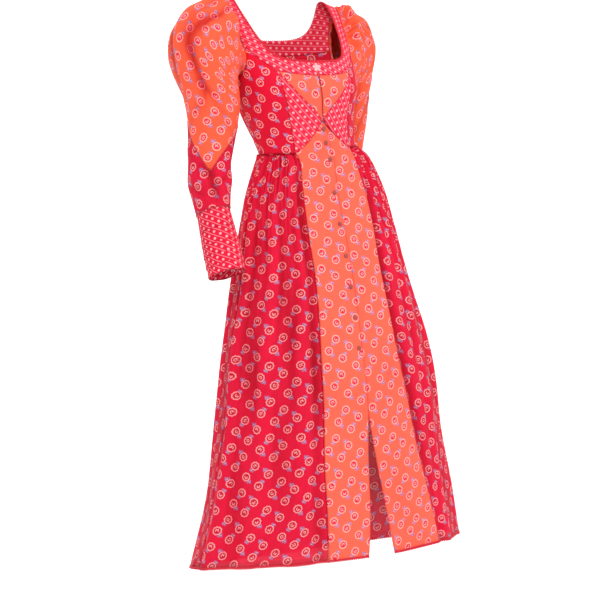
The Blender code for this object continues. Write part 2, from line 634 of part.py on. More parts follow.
def sleeve_points(rings, side, angle, place):
    """Points of a sleeve's tube, and of its outward directions, at angles round and rings down."""
    values = spline(rings, place)
    out_x, out_z, in_x, in_z, middle_y, depth, lean = np.moveaxis(values, -1, 0)
    centre = np.stack([side * (out_x + in_x) / 2, middle_y, (out_z + in_z) / 2], -1)
    outward = np.stack([side * (out_x - in_x) / 2, 0 * depth, (out_z - in_z) / 2], -1)
    lean = np.radians(lean)
    forward = np.stack([0 * depth, -depth * np.cos(lean), depth * np.sin(lean)], -1)
    return centre + outward * np.cos(angle)[..., None] + forward * np.sin(angle)[..., None]


def sleeve_folds(angle, place, fullness):
    total = np.zeros(np.broadcast(angle, place).shape)
    for middle, spread, depth, first, last in [*SLEEVE_FOLDS, fullness]:
        off = (np.degrees(angle) - middle + 180) % 360 - 180
        run = np.sin(math.pi * np.clip((place - first) / (last - first), 0, 1))
        total = total + depth * run * np.exp(-(off / spread) ** 2)
    return total


def grid_normals(points, side):
    """Outward directions of a closed tube of points."""
    across = np.roll(points, -1, axis=1) - np.roll(points, 1, axis=1)
    down = np.gradient(points, axis=0)
    return side * unit(np.cross(across, down))


def add_sleeve(word, side, armhole, rings, fullness, cuff_run, materials):
    """Gathered upper sleeve, pointed lower sleeve and tucked cuff."""
    columns = len(armhole)
    edge = form(side * armhole[:, 0], armhole[:, 1])
    out_z, in_z, middle_y, depth = rings[0][[1, 3, 4, 5]]
    angle = np.arctan2((middle_y - edge[:, 1]) / depth,
                       (2 * edge[:, 2] - out_z - in_z) / (out_z - in_z))
    edge_normals = bodice_normal(side * armhole[:, 0], armhole[:, 1])
    run = unit(np.roll(edge, -1, axis=0) - np.roll(edge, 1, axis=0))
    into_hole = side * unit(np.cross(edge_normals, run))
    away = sleeve_points(rings, side, angle, np.zeros(columns)) - edge
    rows = [edge + (0.5 * SEAM_GAP + ARMHOLE_EASE) * into_hole,
            edge + HEAD_TURN * into_hole,
            edge + HEAD_RISE * into_hole + HEAD_BLEND * away]
    off_point = np.abs((np.degrees(angle) - POINT_ANGLE + 180) % 360 - 180)
    seam = ELBOW_SEAM + POINT_DROP * np.clip(1 - off_point / POINT_SPREAD, 0, 1)
    places = [np.full(columns, float(ring)) for ring in UPPER_RINGS]
    reach = UPPER_RINGS[-1]
    places += [reach + (seam - reach) * share for share in UPPER_SHARES]
    last = len(rings) - 1.0
    lower_places = [seam + (last - seam) * share for share in LOWER_SHARES]

    angles = np.broadcast_to(angle, (len(places), columns))
    smooth = np.concatenate([rows, sleeve_points(rings, side, angles, np.array(places))])
    all_places = np.concatenate([np.zeros((3, columns)) - 1, places])
    lower_angles = np.broadcast_to(angle, (len(LOWER_SHARES), columns))
    lower = sleeve_points(rings, side, lower_angles, np.array(lower_places))
    normals = grid_normals(np.concatenate([smooth, lower[1:]]), side)
    normals[0] = edge_normals
    normals[1] = edge_normals
    last_ring = lower[-1] - lower[-1].mean(axis=0)
    normals[-1] = unit(last_ring)
    upper_normals, lower_normals = normals[:len(smooth)], normals[len(smooth) - 1:]

    on_head = np.clip(np.cos(angle) * HEAD_SPAN + HEAD_OFFSET, 0, 1)
    grown = np.interp(all_places, HEAD_RINGS, HEAD_SHARES)
    grown[0] = 0
    grown[1] = 0.25
    wave = np.where(np.arange(columns) % 2 == 0, 1.0, -1.0) * on_head
    move = HEAD_GATHER_DEPTH * grown * wave + sleeve_folds(angle, all_places, fullness)
    upper = smooth + move[..., None] * upper_normals
    move = sleeve_folds(angle, np.array(lower_places), fullness)
    move[-1] = 0
    lower = lower + move[..., None] * lower_normals
    lower[0] = upper[-1]
    gap_upper = with_seam_gaps(upper, upper_normals, closed=True)
    gap_upper[0] = upper[0]
    add_wall("sleeve_upper_" + word, gap_upper, upper_normals, materials["orange_rose_print"],
             closed=True)
    gap_lower = with_seam_gaps(lower, lower_normals, closed=True)
    add_wall("sleeve_lower_" + word, gap_lower, lower_normals, materials["red_rose_print"],
             closed=True)
    add_cuff(word, side, rings, cuff_run, materials["dot_print"])


def add_cuff(word, side, rings, cuff_run, material):
    """Cuff with five tucks: each one widens downwards and steps in under its own edge."""
    angle = 2 * math.pi * np.arange(CUFF_COLUMNS) / CUFF_COLUMNS
    last = np.full(CUFF_COLUMNS, len(rings) - 1.0)
    ring = sleeve_points(rings, side, angle, last)
    centre = ring.mean(axis=0)
    spoke = ring - centre
    outward = unit(spoke)
    down = np.array([side * cuff_run[0], cuff_run[1], cuff_run[2]])
    down = down / np.linalg.norm(down)
    rows = []
    run = 0.5 * SEAM_GAP
    for number, length in enumerate(TUCK_LENGTHS):
        widened = CUFF_WIDENS * number
        rows.append((run, widened))
        run_end = run + length - TUCK_STEP
        rows.append((run_end, widened + TUCK_DEPTH))
        run = run_end + TUCK_STEP
    middle = np.stack([centre + spoke + run * down + wide * outward for run, wide in rows])
    normals = np.broadcast_to(outward, middle.shape)
    add_wall("cuff_" + word, middle, normals, material, closed=True)


def frame_on(column, normals, height):
    """Point, outward direction and upward direction on a column of points, at a height."""
    heights = column[:, 2]
    share = np.interp(-height, -heights, np.arange(len(column)))
    row = min(int(share), len(column) - 2)
    point = column[row] + (share - row) * (column[row + 1] - column[row])
    up = unit(column[row] - column[row + 1])
    out = unit(normals[row] + (share - row) * (normals[row + 1] - normals[row]))
    out = unit(out - np.dot(out, up) * up)
    return point, out, up


def add_buttons(right, right_normals, necks, materials):
    """Covered buttons down the closing, and the flower button on the neck band."""
    column, normals = right[:, 1], right_normals[:, 1]
    for number, height in enumerate(BUTTON_HEIGHTS, 1):
        point, out, up = frame_on(column, normals, height)
        across = np.cross(up, out)
        rings = []
        base = point + (0.5 * WALL + LAID_ON_GAP) * out
        for rise, radius in BUTTON_PROFILE:
            ring = []
            for step in range(BUTTON_SIDES):
                turn = 2 * math.pi * step / BUTTON_SIDES
                spoke = math.cos(turn) * across + math.sin(turn) * up
                ring.append(base + BUTTON_DOME * rise * out + BUTTON_RADIUS * radius * spoke)
            rings.append(ring)
        add_capped("button_%d" % number, np.array(rings), materials["covered_button"])

    middle, normals = necks["right"]
    point, out, up = frame_on(middle[:, 0], normals[:, 0], FLOWER_HEIGHT)
    across = unit(np.cross(up, out))
    base = point + (0.5 * WALL + LAID_ON_GAP) * out
    rings = []
    for rise, radius in FLOWER_PROFILE:
        ring = []
        for step in range(FLOWER_SIDES):
            turn = 2 * math.pi * step / FLOWER_SIDES
            lobe = 1 - FLOWER_NOTCH * (1 - abs(math.cos(FLOWER_PETALS * turn / 2)))
            spoke = math.cos(turn) * across + math.sin(turn) * up
            ring.append(base + FLOWER_THICKNESS * rise * out + FLOWER_RADIUS * radius * lobe * spoke)
        rings.append(ring)
    add_capped("flower_button", np.array(rings), materials["pale_resin"])


def add_capped(name, rings, material):
    """Closed solid from a stack of rings, with a flat face at each end."""
    rows, columns = rings.shape[:2]
    faces = grid_faces(rows, columns, True)
    faces.append(tuple(reversed(range(columns))))
    faces.append(tuple((rows - 1) * columns + index for index in range(columns)))
    add_object(name, rings.reshape(-1, 3), faces, material)


def make_material(name, colour, roughness, metallic):
    material = bpy.data.materials.new(name)
    material.use_nodes = True
    shader = material.node_tree.nodes["Principled BSDF"]
    shader.inputs["Base Color"].default_value = (*colour, 1.0)
    shader.inputs["Roughness"].default_value = roughness
    shader.inputs["Metallic"].default_value = metallic
    material.diffuse_color = (*colour, 1.0)
    return material


def main():
    clear_scene()
    materials = {name: make_material(name, *values) for name, values in MATERIALS.items()}
    necks, armhole = add_bodice(materials)
    right, right_normals = add_skirt(materials)
    add_neck_trim(necks, materials)
    add_sleeve("right", -1, armhole, RIGHT_SLEEVE, RIGHT_FULLNESS, RIGHT_CUFF_RUN, materials)
    add_sleeve("left", 1, armhole, LEFT_SLEEVE, LEFT_FULLNESS, LEFT_CUFF_RUN, materials)
    add_buttons(right, right_normals, necks, materials)


main()
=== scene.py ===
"""Corset dress: cloth, edging, fastenings and finishes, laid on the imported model's form.

Sizes are in metres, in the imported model's frame. Each cloth piece is a thin shell on the middle
of its solid, with the gathers, folds and seams that the solid leaves out.
"""

import math

import bpy
import numpy as np
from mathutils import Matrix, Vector


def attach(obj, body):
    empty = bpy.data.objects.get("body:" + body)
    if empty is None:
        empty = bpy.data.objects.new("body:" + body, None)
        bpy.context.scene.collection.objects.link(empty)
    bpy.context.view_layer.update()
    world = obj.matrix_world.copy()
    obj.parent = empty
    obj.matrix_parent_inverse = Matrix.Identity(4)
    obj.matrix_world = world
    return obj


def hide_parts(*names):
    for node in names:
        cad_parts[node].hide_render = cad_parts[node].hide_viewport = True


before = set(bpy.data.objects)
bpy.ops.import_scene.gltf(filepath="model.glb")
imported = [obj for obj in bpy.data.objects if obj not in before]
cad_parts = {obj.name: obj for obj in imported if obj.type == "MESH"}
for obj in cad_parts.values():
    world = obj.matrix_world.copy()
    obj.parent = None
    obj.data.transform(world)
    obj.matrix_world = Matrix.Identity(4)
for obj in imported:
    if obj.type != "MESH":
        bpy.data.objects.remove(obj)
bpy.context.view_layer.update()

WALL = 0.0020
CLOTH = 0.0007
WAIST = -0.330
LAP = 0.010
LAP_STEP_IN = WALL + 0.0006
LAP_STEP_FULL = 0.014
LAP_STEP_END = 0.034
FINE = 4

# The form, as in the model. Columns: height, centre x, centre y, half width, depth to front,
# depth to back, side tilt.
FORM = np.array([
    (0.000, 0.000, 0.000, 0.168, 0.000, 0.000, -0.035),
    (-0.004, 0.000, -0.001, 0.168, 0.018, 0.017, -0.035),
    (-0.012, 0.001, -0.003, 0.168, 0.031, 0.029, -0.035),
    (-0.036, 0.003, -0.010, 0.167, 0.053, 0.051, -0.030),
    (-0.070, 0.006, -0.020, 0.163, 0.075, 0.075, -0.020),
    (-0.100, 0.010, -0.028, 0.156, 0.092, 0.090, -0.010),
    (-0.136, 0.015, -0.036, 0.148, 0.107, 0.101, 0.000),
    (-0.175, 0.018, -0.043, 0.141, 0.116, 0.104, 0.010),
    (-0.215, 0.021, -0.049, 0.135, 0.118, 0.100, 0.030),
    (-0.255, 0.026, -0.057, 0.126, 0.106, 0.094, 0.050),
    (-0.295, 0.034, -0.067, 0.117, 0.090, 0.088, 0.070),
    (-0.330, 0.041, -0.075, 0.112, 0.081, 0.084, 0.085),
    (-0.350, 0.049, -0.078, 0.127, 0.0785, 0.089, 0.085),
    (-0.380, 0.0505, -0.083, 0.1435, 0.078, 0.098, 0.082),
    (-0.433, 0.0525, -0.089, 0.165, 0.082, 0.112, 0.078),
    (-0.495, 0.054, -0.093, 0.1805, 0.098, 0.122, 0.072),
    (-0.580, 0.058, -0.097, 0.1985, 0.117, 0.132, 0.066),
    (-0.670, 0.0625, -0.103, 0.22, 0.131, 0.141, 0.060),
    (-0.760, 0.0675, -0.109, 0.241, 0.138, 0.151, 0.056),
    (-0.860, 0.0715, -0.115, 0.2585, 0.145, 0.158, 0.052),
    (-0.980, 0.07, -0.119, 0.2765, 0.150, 0.165, 0.049),
    (-1.100, 0.071, -0.122, 0.3, 0.153, 0.171, 0.047),
    (-1.260, 0.064, -0.124, 0.342, 0.156, 0.176, 0.045),
])
BUST_ANGLE = 37.0
BUST_SPREAD = 25.0
BUST_HEIGHT = -0.190
BUST_REACH = 0.045
BUST_FULLNESS = 0.012
SHOULDER_START = 0.118
SHOULDER_DROP = 0.25
SHOULDER_DEPTH = 0.10
RIDGE_ROWS = 3.2

# Seam lines on one side of the dress. Columns: angle in degrees, height.
NECK_FRONT = [(0, -0.141), (16.5, -0.139), (27.0, -0.135), (34.3, -0.124), (39.3, -0.097),
              (41.3, -0.065), (43.2, -0.035), (43.9, -0.012), (44.2, 0.0)]
NECK_BACK = [(44.2, 0.0), (43.7, -0.014), (42.6, -0.035), (39.3, -0.060), (32.5, -0.078),
             (20.5, -0.087), (0, -0.090)]
YOKE_INSET = [(0, -0.170), (16.0, -0.1685), (35.2, -0.1615)]
YOKE_SIDE = [(35.9, -0.1600), (46.0, -0.142), (52.5, -0.127), (58.4, -0.110)]
YOKE_BACK = [(63.0, -0.110), (40.0, -0.117), (20.0, -0.1215), (0, -0.123)]
ARMHOLE_FRONT_TOP = [(66.4, 0.0), (63.0, -0.015), (59.5, -0.040), (57.3, -0.065),
                     (57.2, -0.087), (58.4, -0.110)]
ARMHOLE_FRONT_LOW = [(58.4, -0.110), (60.0, -0.130), (66.0, -0.152), (76.0, -0.168),
                     (90.0, -0.175)]
ARMHOLE_BACK_TOP = [(66.4, 0.0), (64.0, -0.015), (62.0, -0.040), (61.0, -0.065),
                    (61.5, -0.087), (63.0, -0.110)]
ARMHOLE_BACK_LOW = [(63.0, -0.110), (66.0, -0.133), (71.0, -0.153), (79.0, -0.168),
                    (90.0, -0.175)]
INSET_EDGE = [(35.2, -0.1615), (26.4, -0.193), (19.9, -0.214), (12.0, -0.234), (4.0, -0.2535),
              (1.2, -0.266)]
PRINCESS = [(35.9, -0.1600), (34.4, -0.192), (33.7, -0.216), (33.8, -0.241), (34.8, -0.275),
            (35.7, -0.300), (37.5, WAIST)]
PEAK = [(1.2, -0.266), (6.0, -0.281), (12.2, -0.294), (17.0, -0.304), (27.0, -0.318),
        (37.5, WAIST)]
PEAK_LAP_SHARE = 0.24

# Rows down the skirt, the last of them the hem. Columns: height at the centre front, height at
# the seams, angle of the front seam on the right and on the left, x of the right front edge and
# of the left front edge.
SKIRT_ROWS = [
    (-0.2668, WAIST, 37.5, 37.5, 0.0004, 0.0026),
    (-0.297, -0.350, 31.8, 33.0, LAP, -LAP),
    (-0.335, -0.380, 28.7, 31.4, LAP, -LAP),
    (-0.390, -0.430, 25.6, 31.6, LAP, -LAP),
    (-0.460, -0.495, 24.3, 29.7, LAP, -LAP),
    (-0.580, -0.600, 22.2, 26.3, LAP, -LAP),
    (-0.750, -0.760, 21.4, 24.9, LAP, -LAP),
    (-0.970, -0.980, 20.3, 32.2, 0.008, 0.025),
    (None, None, 16.1, 41.2, 0.006, 0.072),
]
# Broad folds of the skirt. Columns: angle, half spread in degrees, depth (out is positive),
# height where it starts, height where it is at its fullest.
SKIRT_FOLDS = [
    (-31, 6, 0.005, -0.36, -0.62), (-41, 5, -0.006, -0.36, -0.58), (-54, 7, 0.006, -0.36, -0.66),
    (-67, 6, -0.007, -0.38, -0.60), (-81, 7, 0.007, -0.38, -0.75), (-98, 8, -0.007, -0.40, -0.70),
    (-116, 8, 0.007, -0.38, -0.72), (-136, 8, -0.007, -0.38, -0.66), (-156, 9, 0.008, -0.36, -0.70),
    (178, 9, -0.008, -0.36, -0.66), (154, 9, 0.008, -0.38, -0.74), (132, 8, -0.007, -0.36, -0.68),
    (111, 8, 0.007, -0.38, -0.70), (93, 7, -0.006, -0.40, -0.66), (76, 7, 0.007, -0.38, -0.72),
    (61, 6, -0.006, -0.38, -0.64), (49, 5, 0.005, -0.36, -0.60),
]
FOLD_KEPT_AT_HEM = 0.55
# Small drags and creases that run between the broad folds. Same columns.
SKIRT_CREASES = [
    (-36, 2.2, -0.0066, -0.34, -0.50), (-47, 2.0, -0.0062, -0.34, -0.46), (-60, 2.8, -0.0066, -0.34, -0.52),
    (-74, 2.5, -0.0066, -0.34, -0.60), (-88, 3.2, -0.0075, -0.34, -0.55), (-107, 3.2, -0.0075, -0.34, -0.62),
    (-126, 3.0, -0.0066, -0.34, -0.55), (-146, 3.5, -0.0079, -0.34, -0.60), (-168, 3.0, -0.0066, -0.34, -0.52),
    (166, 3.2, -0.0075, -0.34, -0.64), (143, 3.0, -0.0066, -0.34, -0.56), (121, 3.2, -0.0075, -0.34, -0.60),
    (102, 2.8, -0.0066, -0.34, -0.52), (84, 3.0, -0.0075, -0.34, -0.62), (69, 2.5, -0.0066, -0.34, -0.50),
    (55, 2.2, -0.0066, -0.34, -0.56), (44, 2.0, -0.0057, -0.34, -0.48),
]

# Sleeves as rings. Columns: outer point (distance out, height), inner point (distance out,
# height), y of the middle, half depth front to back, forward lean of the ring in degrees.
RIGHT_SLEEVE = np.array([
    (0.1650, 0.0050, 0.1325, -0.1840, -0.046, 0.070, 0),
    (0.1970, -0.0170, 0.1370, -0.1900, -0.047, 0.077, 2),
    (0.2340, -0.0350, 0.1390, -0.1950, -0.047, 0.081, 4),
    (0.2610, -0.0700, 0.1400, -0.2020, -0.048, 0.082, 6),
    (0.2700, -0.1090, 0.1400, -0.2100, -0.050, 0.079, 8),
    (0.2630, -0.1540, 0.1390, -0.2210, -0.056, 0.072, 10),
    (0.2510, -0.2000, 0.1400, -0.2410, -0.068, 0.063, 10),
    (0.2450, -0.2450, 0.1430, -0.2690, -0.076, 0.057, 10),
    (0.2450, -0.2900, 0.1485, -0.3050, -0.082, 0.054, 10),
    (0.2480, -0.3250, 0.1545, -0.3320, -0.084, 0.050, 9),
    (0.2480, -0.3600, 0.1600, -0.3620, -0.085, 0.0475, 9),
    (0.2500, -0.3960, 0.1595, -0.3940, -0.088, 0.049, 10),
    (0.2435, -0.4280, 0.1655, -0.4240, -0.094, 0.045, 14),
    (0.2375, -0.4590, 0.1700, -0.4550, -0.101, 0.042, 19),
])
LEFT_SLEEVE = np.array([
    (0.1640, -0.0100, 0.1660, -0.1860, -0.019, 0.069, 0),
    (0.1910, -0.0270, 0.1690, -0.1920, -0.007, 0.071, 0),
    (0.2255, -0.0400, 0.1680, -0.1970, 0.005, 0.071, -1),
    (0.2495, -0.0720, 0.1640, -0.2040, 0.015, 0.070, -2),
    (0.2585, -0.1080, 0.1590, -0.2130, 0.024, 0.067, -3),
    (0.2590, -0.1550, 0.1540, -0.2260, 0.030, 0.063, -5),
    (0.2565, -0.2000, 0.1490, -0.2460, 0.034, 0.059, -6),
    (0.2540, -0.2450, 0.1475, -0.2720, 0.039, 0.056, -7),
    (0.2505, -0.2900, 0.1470, -0.3060, 0.044, 0.053, -8),
    (0.2475, -0.3250, 0.1480, -0.3320, 0.048, 0.050, -8),
    (0.2460, -0.3600, 0.1510, -0.3620, 0.052, 0.0475, -8),
    (0.2480, -0.3960, 0.1500, -0.3940, 0.058, 0.048, -8),
    (0.2480, -0.4280, 0.1580, -0.4240, 0.062, 0.045, -8),
    (0.2490, -0.4590, 0.1640, -0.4550, 0.066, 0.042, -8),
])
ELBOW_SEAM = 7.35
POINT_ANGLE = 63.0
POINT_SPREAD = 90.0
POINT_DROP = 3.2
# Long folds of a sleeve. Columns: angle round it, half spread, depth, first and last ring.
SLEEVE_FOLDS = [(41, 9, -0.0065, 0.8, 7.0), (73, 11, 0.0035, 1.0, 6.0), (108, 9, -0.0035, 1.5, 7.5),
                (345, 10, -0.0045, 1.0, 6.5), (312, 10, 0.0030, 1.0, 6.0), (70, 12, -0.0050, 10.0, 13.0),
                (190, 12, -0.0040, 8.5, 11.5), (262, 10, -0.0035, 2.0, 7.5)]
# Fullness of each upper sleeve at the front, towards the body. The same columns.
RIGHT_FULLNESS = (140, 40, 0.0105, 0.3, 8.0)
LEFT_FULLNESS = (140, 40, 0.0030, 0.3, 8.0)
# Short creases across a sleeve: angle, half spread, ring, half spread in rings, depth, slant.
SLEEVE_CREASES = [(60, 34, 6.1, 0.30, -0.0028, 0.5), (30, 30, 6.9, 0.28, -0.0024, -0.6),
                  (95, 30, 7.3, 0.30, -0.0026, 0.7), (50, 32, 10.4, 0.26, -0.0026, 0.5),
                  (105, 26, 11.0, 0.26, -0.0024, -0.6), (20, 26, 11.6, 0.26, -0.0020, 0.4),
                  (200, 34, 7.0, 0.32, -0.0028, 0.5), (250, 30, 8.2, 0.30, -0.0026, -0.6),
                  (300, 30, 6.6, 0.28, -0.0022, 0.6), (230, 30, 10.8, 0.28, -0.0024, 0.5)]

TUCK_LENGTHS = (0.042, 0.031, 0.0245, 0.022, 0.0205)
TUCK_DEPTH = 0.0013
TUCK_STEP = 0.0013
CUFF_WIDENS = 0.0006
RIGHT_CUFF_RUN = (-0.004, -0.057, -0.135)
LEFT_CUFF_RUN = (0.000, 0.017, -0.139)
BUTTON_HEIGHTS = (-0.283, -0.313, -0.348, -0.419, -0.485, -0.552, -0.617, -0.681, -0.746)
FLOWER_HEIGHT = -0.154


def unit(vectors):
    length = np.linalg.norm(vectors, axis=-1, keepdims=True)
    return vectors / np.maximum(length, 1e-12)


def eased(value):
    value = np.clip(value, 0.0, 1.0)
    return value * value * (3 - 2 * value)


def spline(table, place):
    """Smooth curve through the rows of a table, at fractional row numbers."""
    last = len(table) - 1
    place = np.clip(np.asarray(place, float), 0, last)
    row = np.minimum(place.astype(int), last - 1)
    part = (place - row)[..., None]
    here, after = table[row], table[row + 1]
    before = np.where((row == 0)[..., None], 2 * here - after, table[np.maximum(row - 1, 0)])
    beyond = np.where((row == last - 1)[..., None], 2 * after - here,
                      table[np.minimum(row + 2, last)])
    bend = 2 * before - 5 * here + 4 * after - beyond + part * (3 * (here - after) + beyond - before)
    return here + 0.5 * part * (after - before + part * bend)


def refined(rows, count):
    """A grid of points with more rows, on smooth curves down its columns."""
    flat = rows.reshape(len(rows), -1)
    return spline(flat, np.linspace(0, len(rows) - 1, count)).reshape(count, *rows.shape[1:])


FINE_PLACES = np.linspace(0, len(FORM) - 1, 3000)
FINE_HEIGHTS = spline(FORM, FINE_PLACES)[:, 0]


def form_row(height):
    return np.interp(-np.asarray(height, float), -FINE_HEIGHTS, FINE_PLACES)


def form_at(angle, place):
    """Point of the form at an angle in radians and a fractional row of FORM."""
    z, middle_x, middle_y, half, front, back, tilt = np.moveaxis(spline(FORM, place), -1, 0)
    depth = np.where(np.cos(angle) >= 0, front, back)
    full = 0.0
    for side in (-1, 1):
        off = (angle - side * math.radians(BUST_ANGLE)) / math.radians(BUST_SPREAD)
        full = full + BUST_FULLNESS * np.exp(-off ** 2 - ((z - BUST_HEIGHT) / BUST_REACH) ** 2)
    x = (half + full) * np.sin(angle)
    y = -(depth + full) * np.cos(angle)
    drop = SHOULDER_DROP * np.maximum(0, np.abs(x) - SHOULDER_START)
    drop = drop * np.clip(1 + z / SHOULDER_DEPTH, 0, 1)
    return np.stack([x + middle_x, y + middle_y, z + tilt * x - drop], -1)


def form(angle, height):
    return form_at(angle, form_row(height))


def level_normal(angle, height):
    """Outward direction in the plane of the oval at that height."""
    _, _, _, half, front, back, tilt = np.moveaxis(spline(FORM, form_row(height)), -1, 0)
    depth = np.where(np.cos(angle) >= 0, front, back) + 0.01
    x = depth * np.sin(angle)
    return unit(np.stack([x, -half * np.cos(angle), tilt * x], -1))


def bodice_normal(angle, height):
    """Outward direction of the form, upright on the shoulder line and level at the waist."""
    place = form_row(height)
    step = 1e-3
    across = form_at(angle + step, place) - form_at(angle - step, place)
    down = form_at(angle, place + step) - form_at(angle, place - step)
    normal = unit(np.cross(down, across))
    near_ridge = (1 - eased(place / RIDGE_ROWS))[..., None]
    normal = unit(normal * (1 - near_ridge) + np.array([0, 0, 1.0]) * near_ridge)
    near_waist = eased((WAIST + 0.045 - height) / 0.045)[..., None]
    return unit(normal * (1 - near_waist) + level_normal(angle, height) * near_waist)


def hem_height(angle):
    return (-1.211 + 0.0275 * np.cos(angle) - 0.0105 * np.sin(angle)
            - 0.0065 * np.cos(2 * angle))


def along(seam, shares):
    """Points at given shares of the length of a seam table, as (angle in radians, height)."""
    table = np.array([(math.radians(angle), height) for angle, height in seam])
    fine = spline(table, np.linspace(0, len(table) - 1, 400))
    reach = np.stack([fine[:, 0] * 0.14, fine[:, 1]], -1)
    length = np.concatenate([[0], np.cumsum(np.linalg.norm(np.diff(reach, axis=0), axis=1))])
    shares = np.asarray(shares, float) * length[-1]
    return np.stack([np.interp(shares, length, fine[:, i]) for i in (0, 1)], -1)


def evenly(seam, count):
    return along(seam, np.linspace(0, 1, count + 1))


def joined(*lines):
    return np.concatenate([lines[0]] + [line[1:] for line in lines[1:]])


def turned(line, side=1, back=False):
    """The same line on the other side of the dress, or on its back."""
    angle = math.pi - line[:, 0] if back else line[:, 0]
    return np.stack([side * angle, line[:, 1]], -1)


def patch(top, bottom, first, last):
    """Rows of (angle, height) filling four edges. The edges meet at the corners."""
    down = np.linspace(0, 1, len(first))[:, None, None]
    over = np.linspace(0, 1, len(top))[None, :, None]
    ruled = (1 - down) * top[None] + down * bottom[None]
    crossed = (1 - over) * first[:, None] + over * last[:, None]
    corners = ((1 - down) * ((1 - over) * top[0] + over * top[-1])
               + down * ((1 - over) * bottom[0] + over * bottom[-1]))
    return ruled + crossed - corners


def ramp(places, values, place):
    return np.interp(place, places, values)


# ---- cloth pieces ----

def lengths(points, axis):
    """Distance run along a grid of points, from its first row or column."""
    step = np.linalg.norm(np.diff(points, axis=axis), axis=-1)
    start = np.zeros_like(np.take(step, [0], axis=axis))
    return np.concatenate([start, np.cumsum(step, axis=axis)], axis=axis)


def select_only(item):
    bpy.ops.object.select_all(action="DESELECT")
    item.select_set(True)
    bpy.context.view_layer.objects.active = item


def apply_modifier(item, kind, **settings):
    select_only(item)
    modifier = item.modifiers.new("shape", kind)
    for key, value in settings.items():
        setattr(modifier, key, value)
    bpy.ops.object.modifier_apply(modifier=modifier.name)


def ready(item, material, replaces=()):
    """Finish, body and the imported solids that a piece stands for."""
    item.data.materials.clear()
    item.data.materials.append(material)
    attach(item, "root")
    if replaces:
        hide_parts(*replaces)
    return item


def add_cloth(name, middle, material, slot, held="stretched", closed=False, sewn="tblr",
              free="", middle_column=0.5, grain=None, turn=0.0, fold=None, with_pieces=(), replaces=None):
    """Thin shell on a grid of points. The print's coordinates are metres along the cloth."""
    rows, columns = middle.shape[:2]
    if closed:
        middle = np.concatenate([middle, middle[:, :1]], axis=1)
        columns += 1
    over, down = lengths(middle, 1), lengths(middle, 0)
    edge = {"t": down, "b": down[-1:] - down, "l": over, "r": over[:, -1:] - over}
    start = over[:, [int(middle_column * (columns - 1))]]
    print_x, print_y = over - start, -down
    if grain is not None:
        print_x, print_y = grain
    if turn:
        c, s = math.cos(turn), math.sin(turn)
        print_x, print_y = c * print_x - s * print_y, s * print_x + c * print_y
    far = np.full((rows, columns), 9.0)
    near_seam = np.minimum.reduce([far] + [edge[e] for e in sewn])
    near_edge = np.minimum.reduce([far] + [edge[e] for e in free])

    bpy.ops.object.select_all(action="DESELECT")
    bpy.ops.mesh.primitive_grid_add(x_subdivisions=columns - 1, y_subdivisions=rows - 1, size=1)
    item = bpy.context.object
    item.name = item.data.name = name
    mesh = item.data
    mesh.vertices.foreach_set("co", middle.reshape(-1).astype(np.float32))
    index = np.empty(len(mesh.loops), np.int32)
    mesh.loops.foreach_get("vertex_index", index)
    layer = mesh.uv_layers.active or mesh.uv_layers.new(name="cloth")
    layer.name = "cloth"
    flat = np.stack([print_x, print_y], -1).reshape(-1, 2)[index]
    layer.data.foreach_set("uv", flat.reshape(-1).astype(np.float32))
    fold = np.zeros((rows, columns)) if fold is None else fold
    if closed and fold.shape[1] < columns:
        fold = np.concatenate([fold, fold[:, :1]], axis=1)
    # The fold attribute is how deep each point lies in a trough; the material paints shade there.
    for word, value in (("seam", near_seam), ("edge", near_edge), ("fold", fold)):
        mesh.attributes.new(word, "FLOAT", "POINT").data.foreach_set(
            "value", value.reshape(-1).astype(np.float32))
    mesh.update()
    if closed:
        select_only(item)
        bpy.ops.object.mode_set(mode="EDIT")
        bpy.ops.mesh.select_all(action="SELECT")
        bpy.ops.mesh.remove_doubles(threshold=1e-6)
        bpy.ops.object.mode_set(mode="OBJECT")
    apply_modifier(item, "SOLIDIFY", thickness=CLOTH, offset=0.0)
    item.data.shade_smooth()
    ready(item, material, replaces or (name,))
    cut_area = float((0.25 * (lengths(middle, 1)[1:, 1:] - lengths(middle, 1)[1:, :-1]
                              + lengths(middle, 1)[:-1, 1:] - lengths(middle, 1)[:-1, :-1])
                      * (down[1:, 1:] - down[:-1, 1:] + down[1:, :-1] - down[:-1, :-1])).sum())
    width, length = float(np.ptp(over, axis=1).max()), float(down[-1].max())
    item["cut"] = "%.3f x %.3f m, %.4f m2" % (width, length, cut_area)
    return item


LEVELS = np.linspace(0, len(FORM) - 1, 161)
TURNS = np.arange(-300, 301)
ROUND = form_at(np.radians(TURNS)[None], LEVELS[:, None])


def table_at(table, row, column):
    """Value of a table at fractional rows and columns."""
    row = np.clip(row, 0, table.shape[0] - 1.001)
    column = np.clip(column, 0, table.shape[1] - 1.001)
    r, c = row.astype(int), column.astype(int)
    down, over = row - r, column - c
    return ((table[r, c] * (1 - over) + table[r, c + 1] * over) * (1 - down)
            + (table[r + 1, c] * (1 - over) + table[r + 1, c + 1] * over) * down)


ROUND_LENGTH = lengths(ROUND, 1) - lengths(ROUND, 1)[:, 300:301]


def grain_on(angle, height, middle, fullness=0.0):
    """Coordinates of the cloth on the form: round it from a middle angle, and down that angle."""
    row = form_row(height) / LEVELS[1]
    turn = np.degrees(angle)
    across = table_at(ROUND_LENGTH, row, turn + 300) - table_at(ROUND_LENGTH, row, 0 * turn + middle + 300)
    drop = lengths(ROUND[:, [int(middle) + 300]], 0)
    gathered = 1 + fullness * eased((height + 0.62) / (WAIST + 0.62))
    return across * gathered, -table_at(np.repeat(drop, 2, axis=1), row, 0 * row)


def outside(points, normals):
    """Moves a thin shell out so that its outer face lies where its solid's does."""
    return points + 0.5 * (WALL - CLOTH) * normals


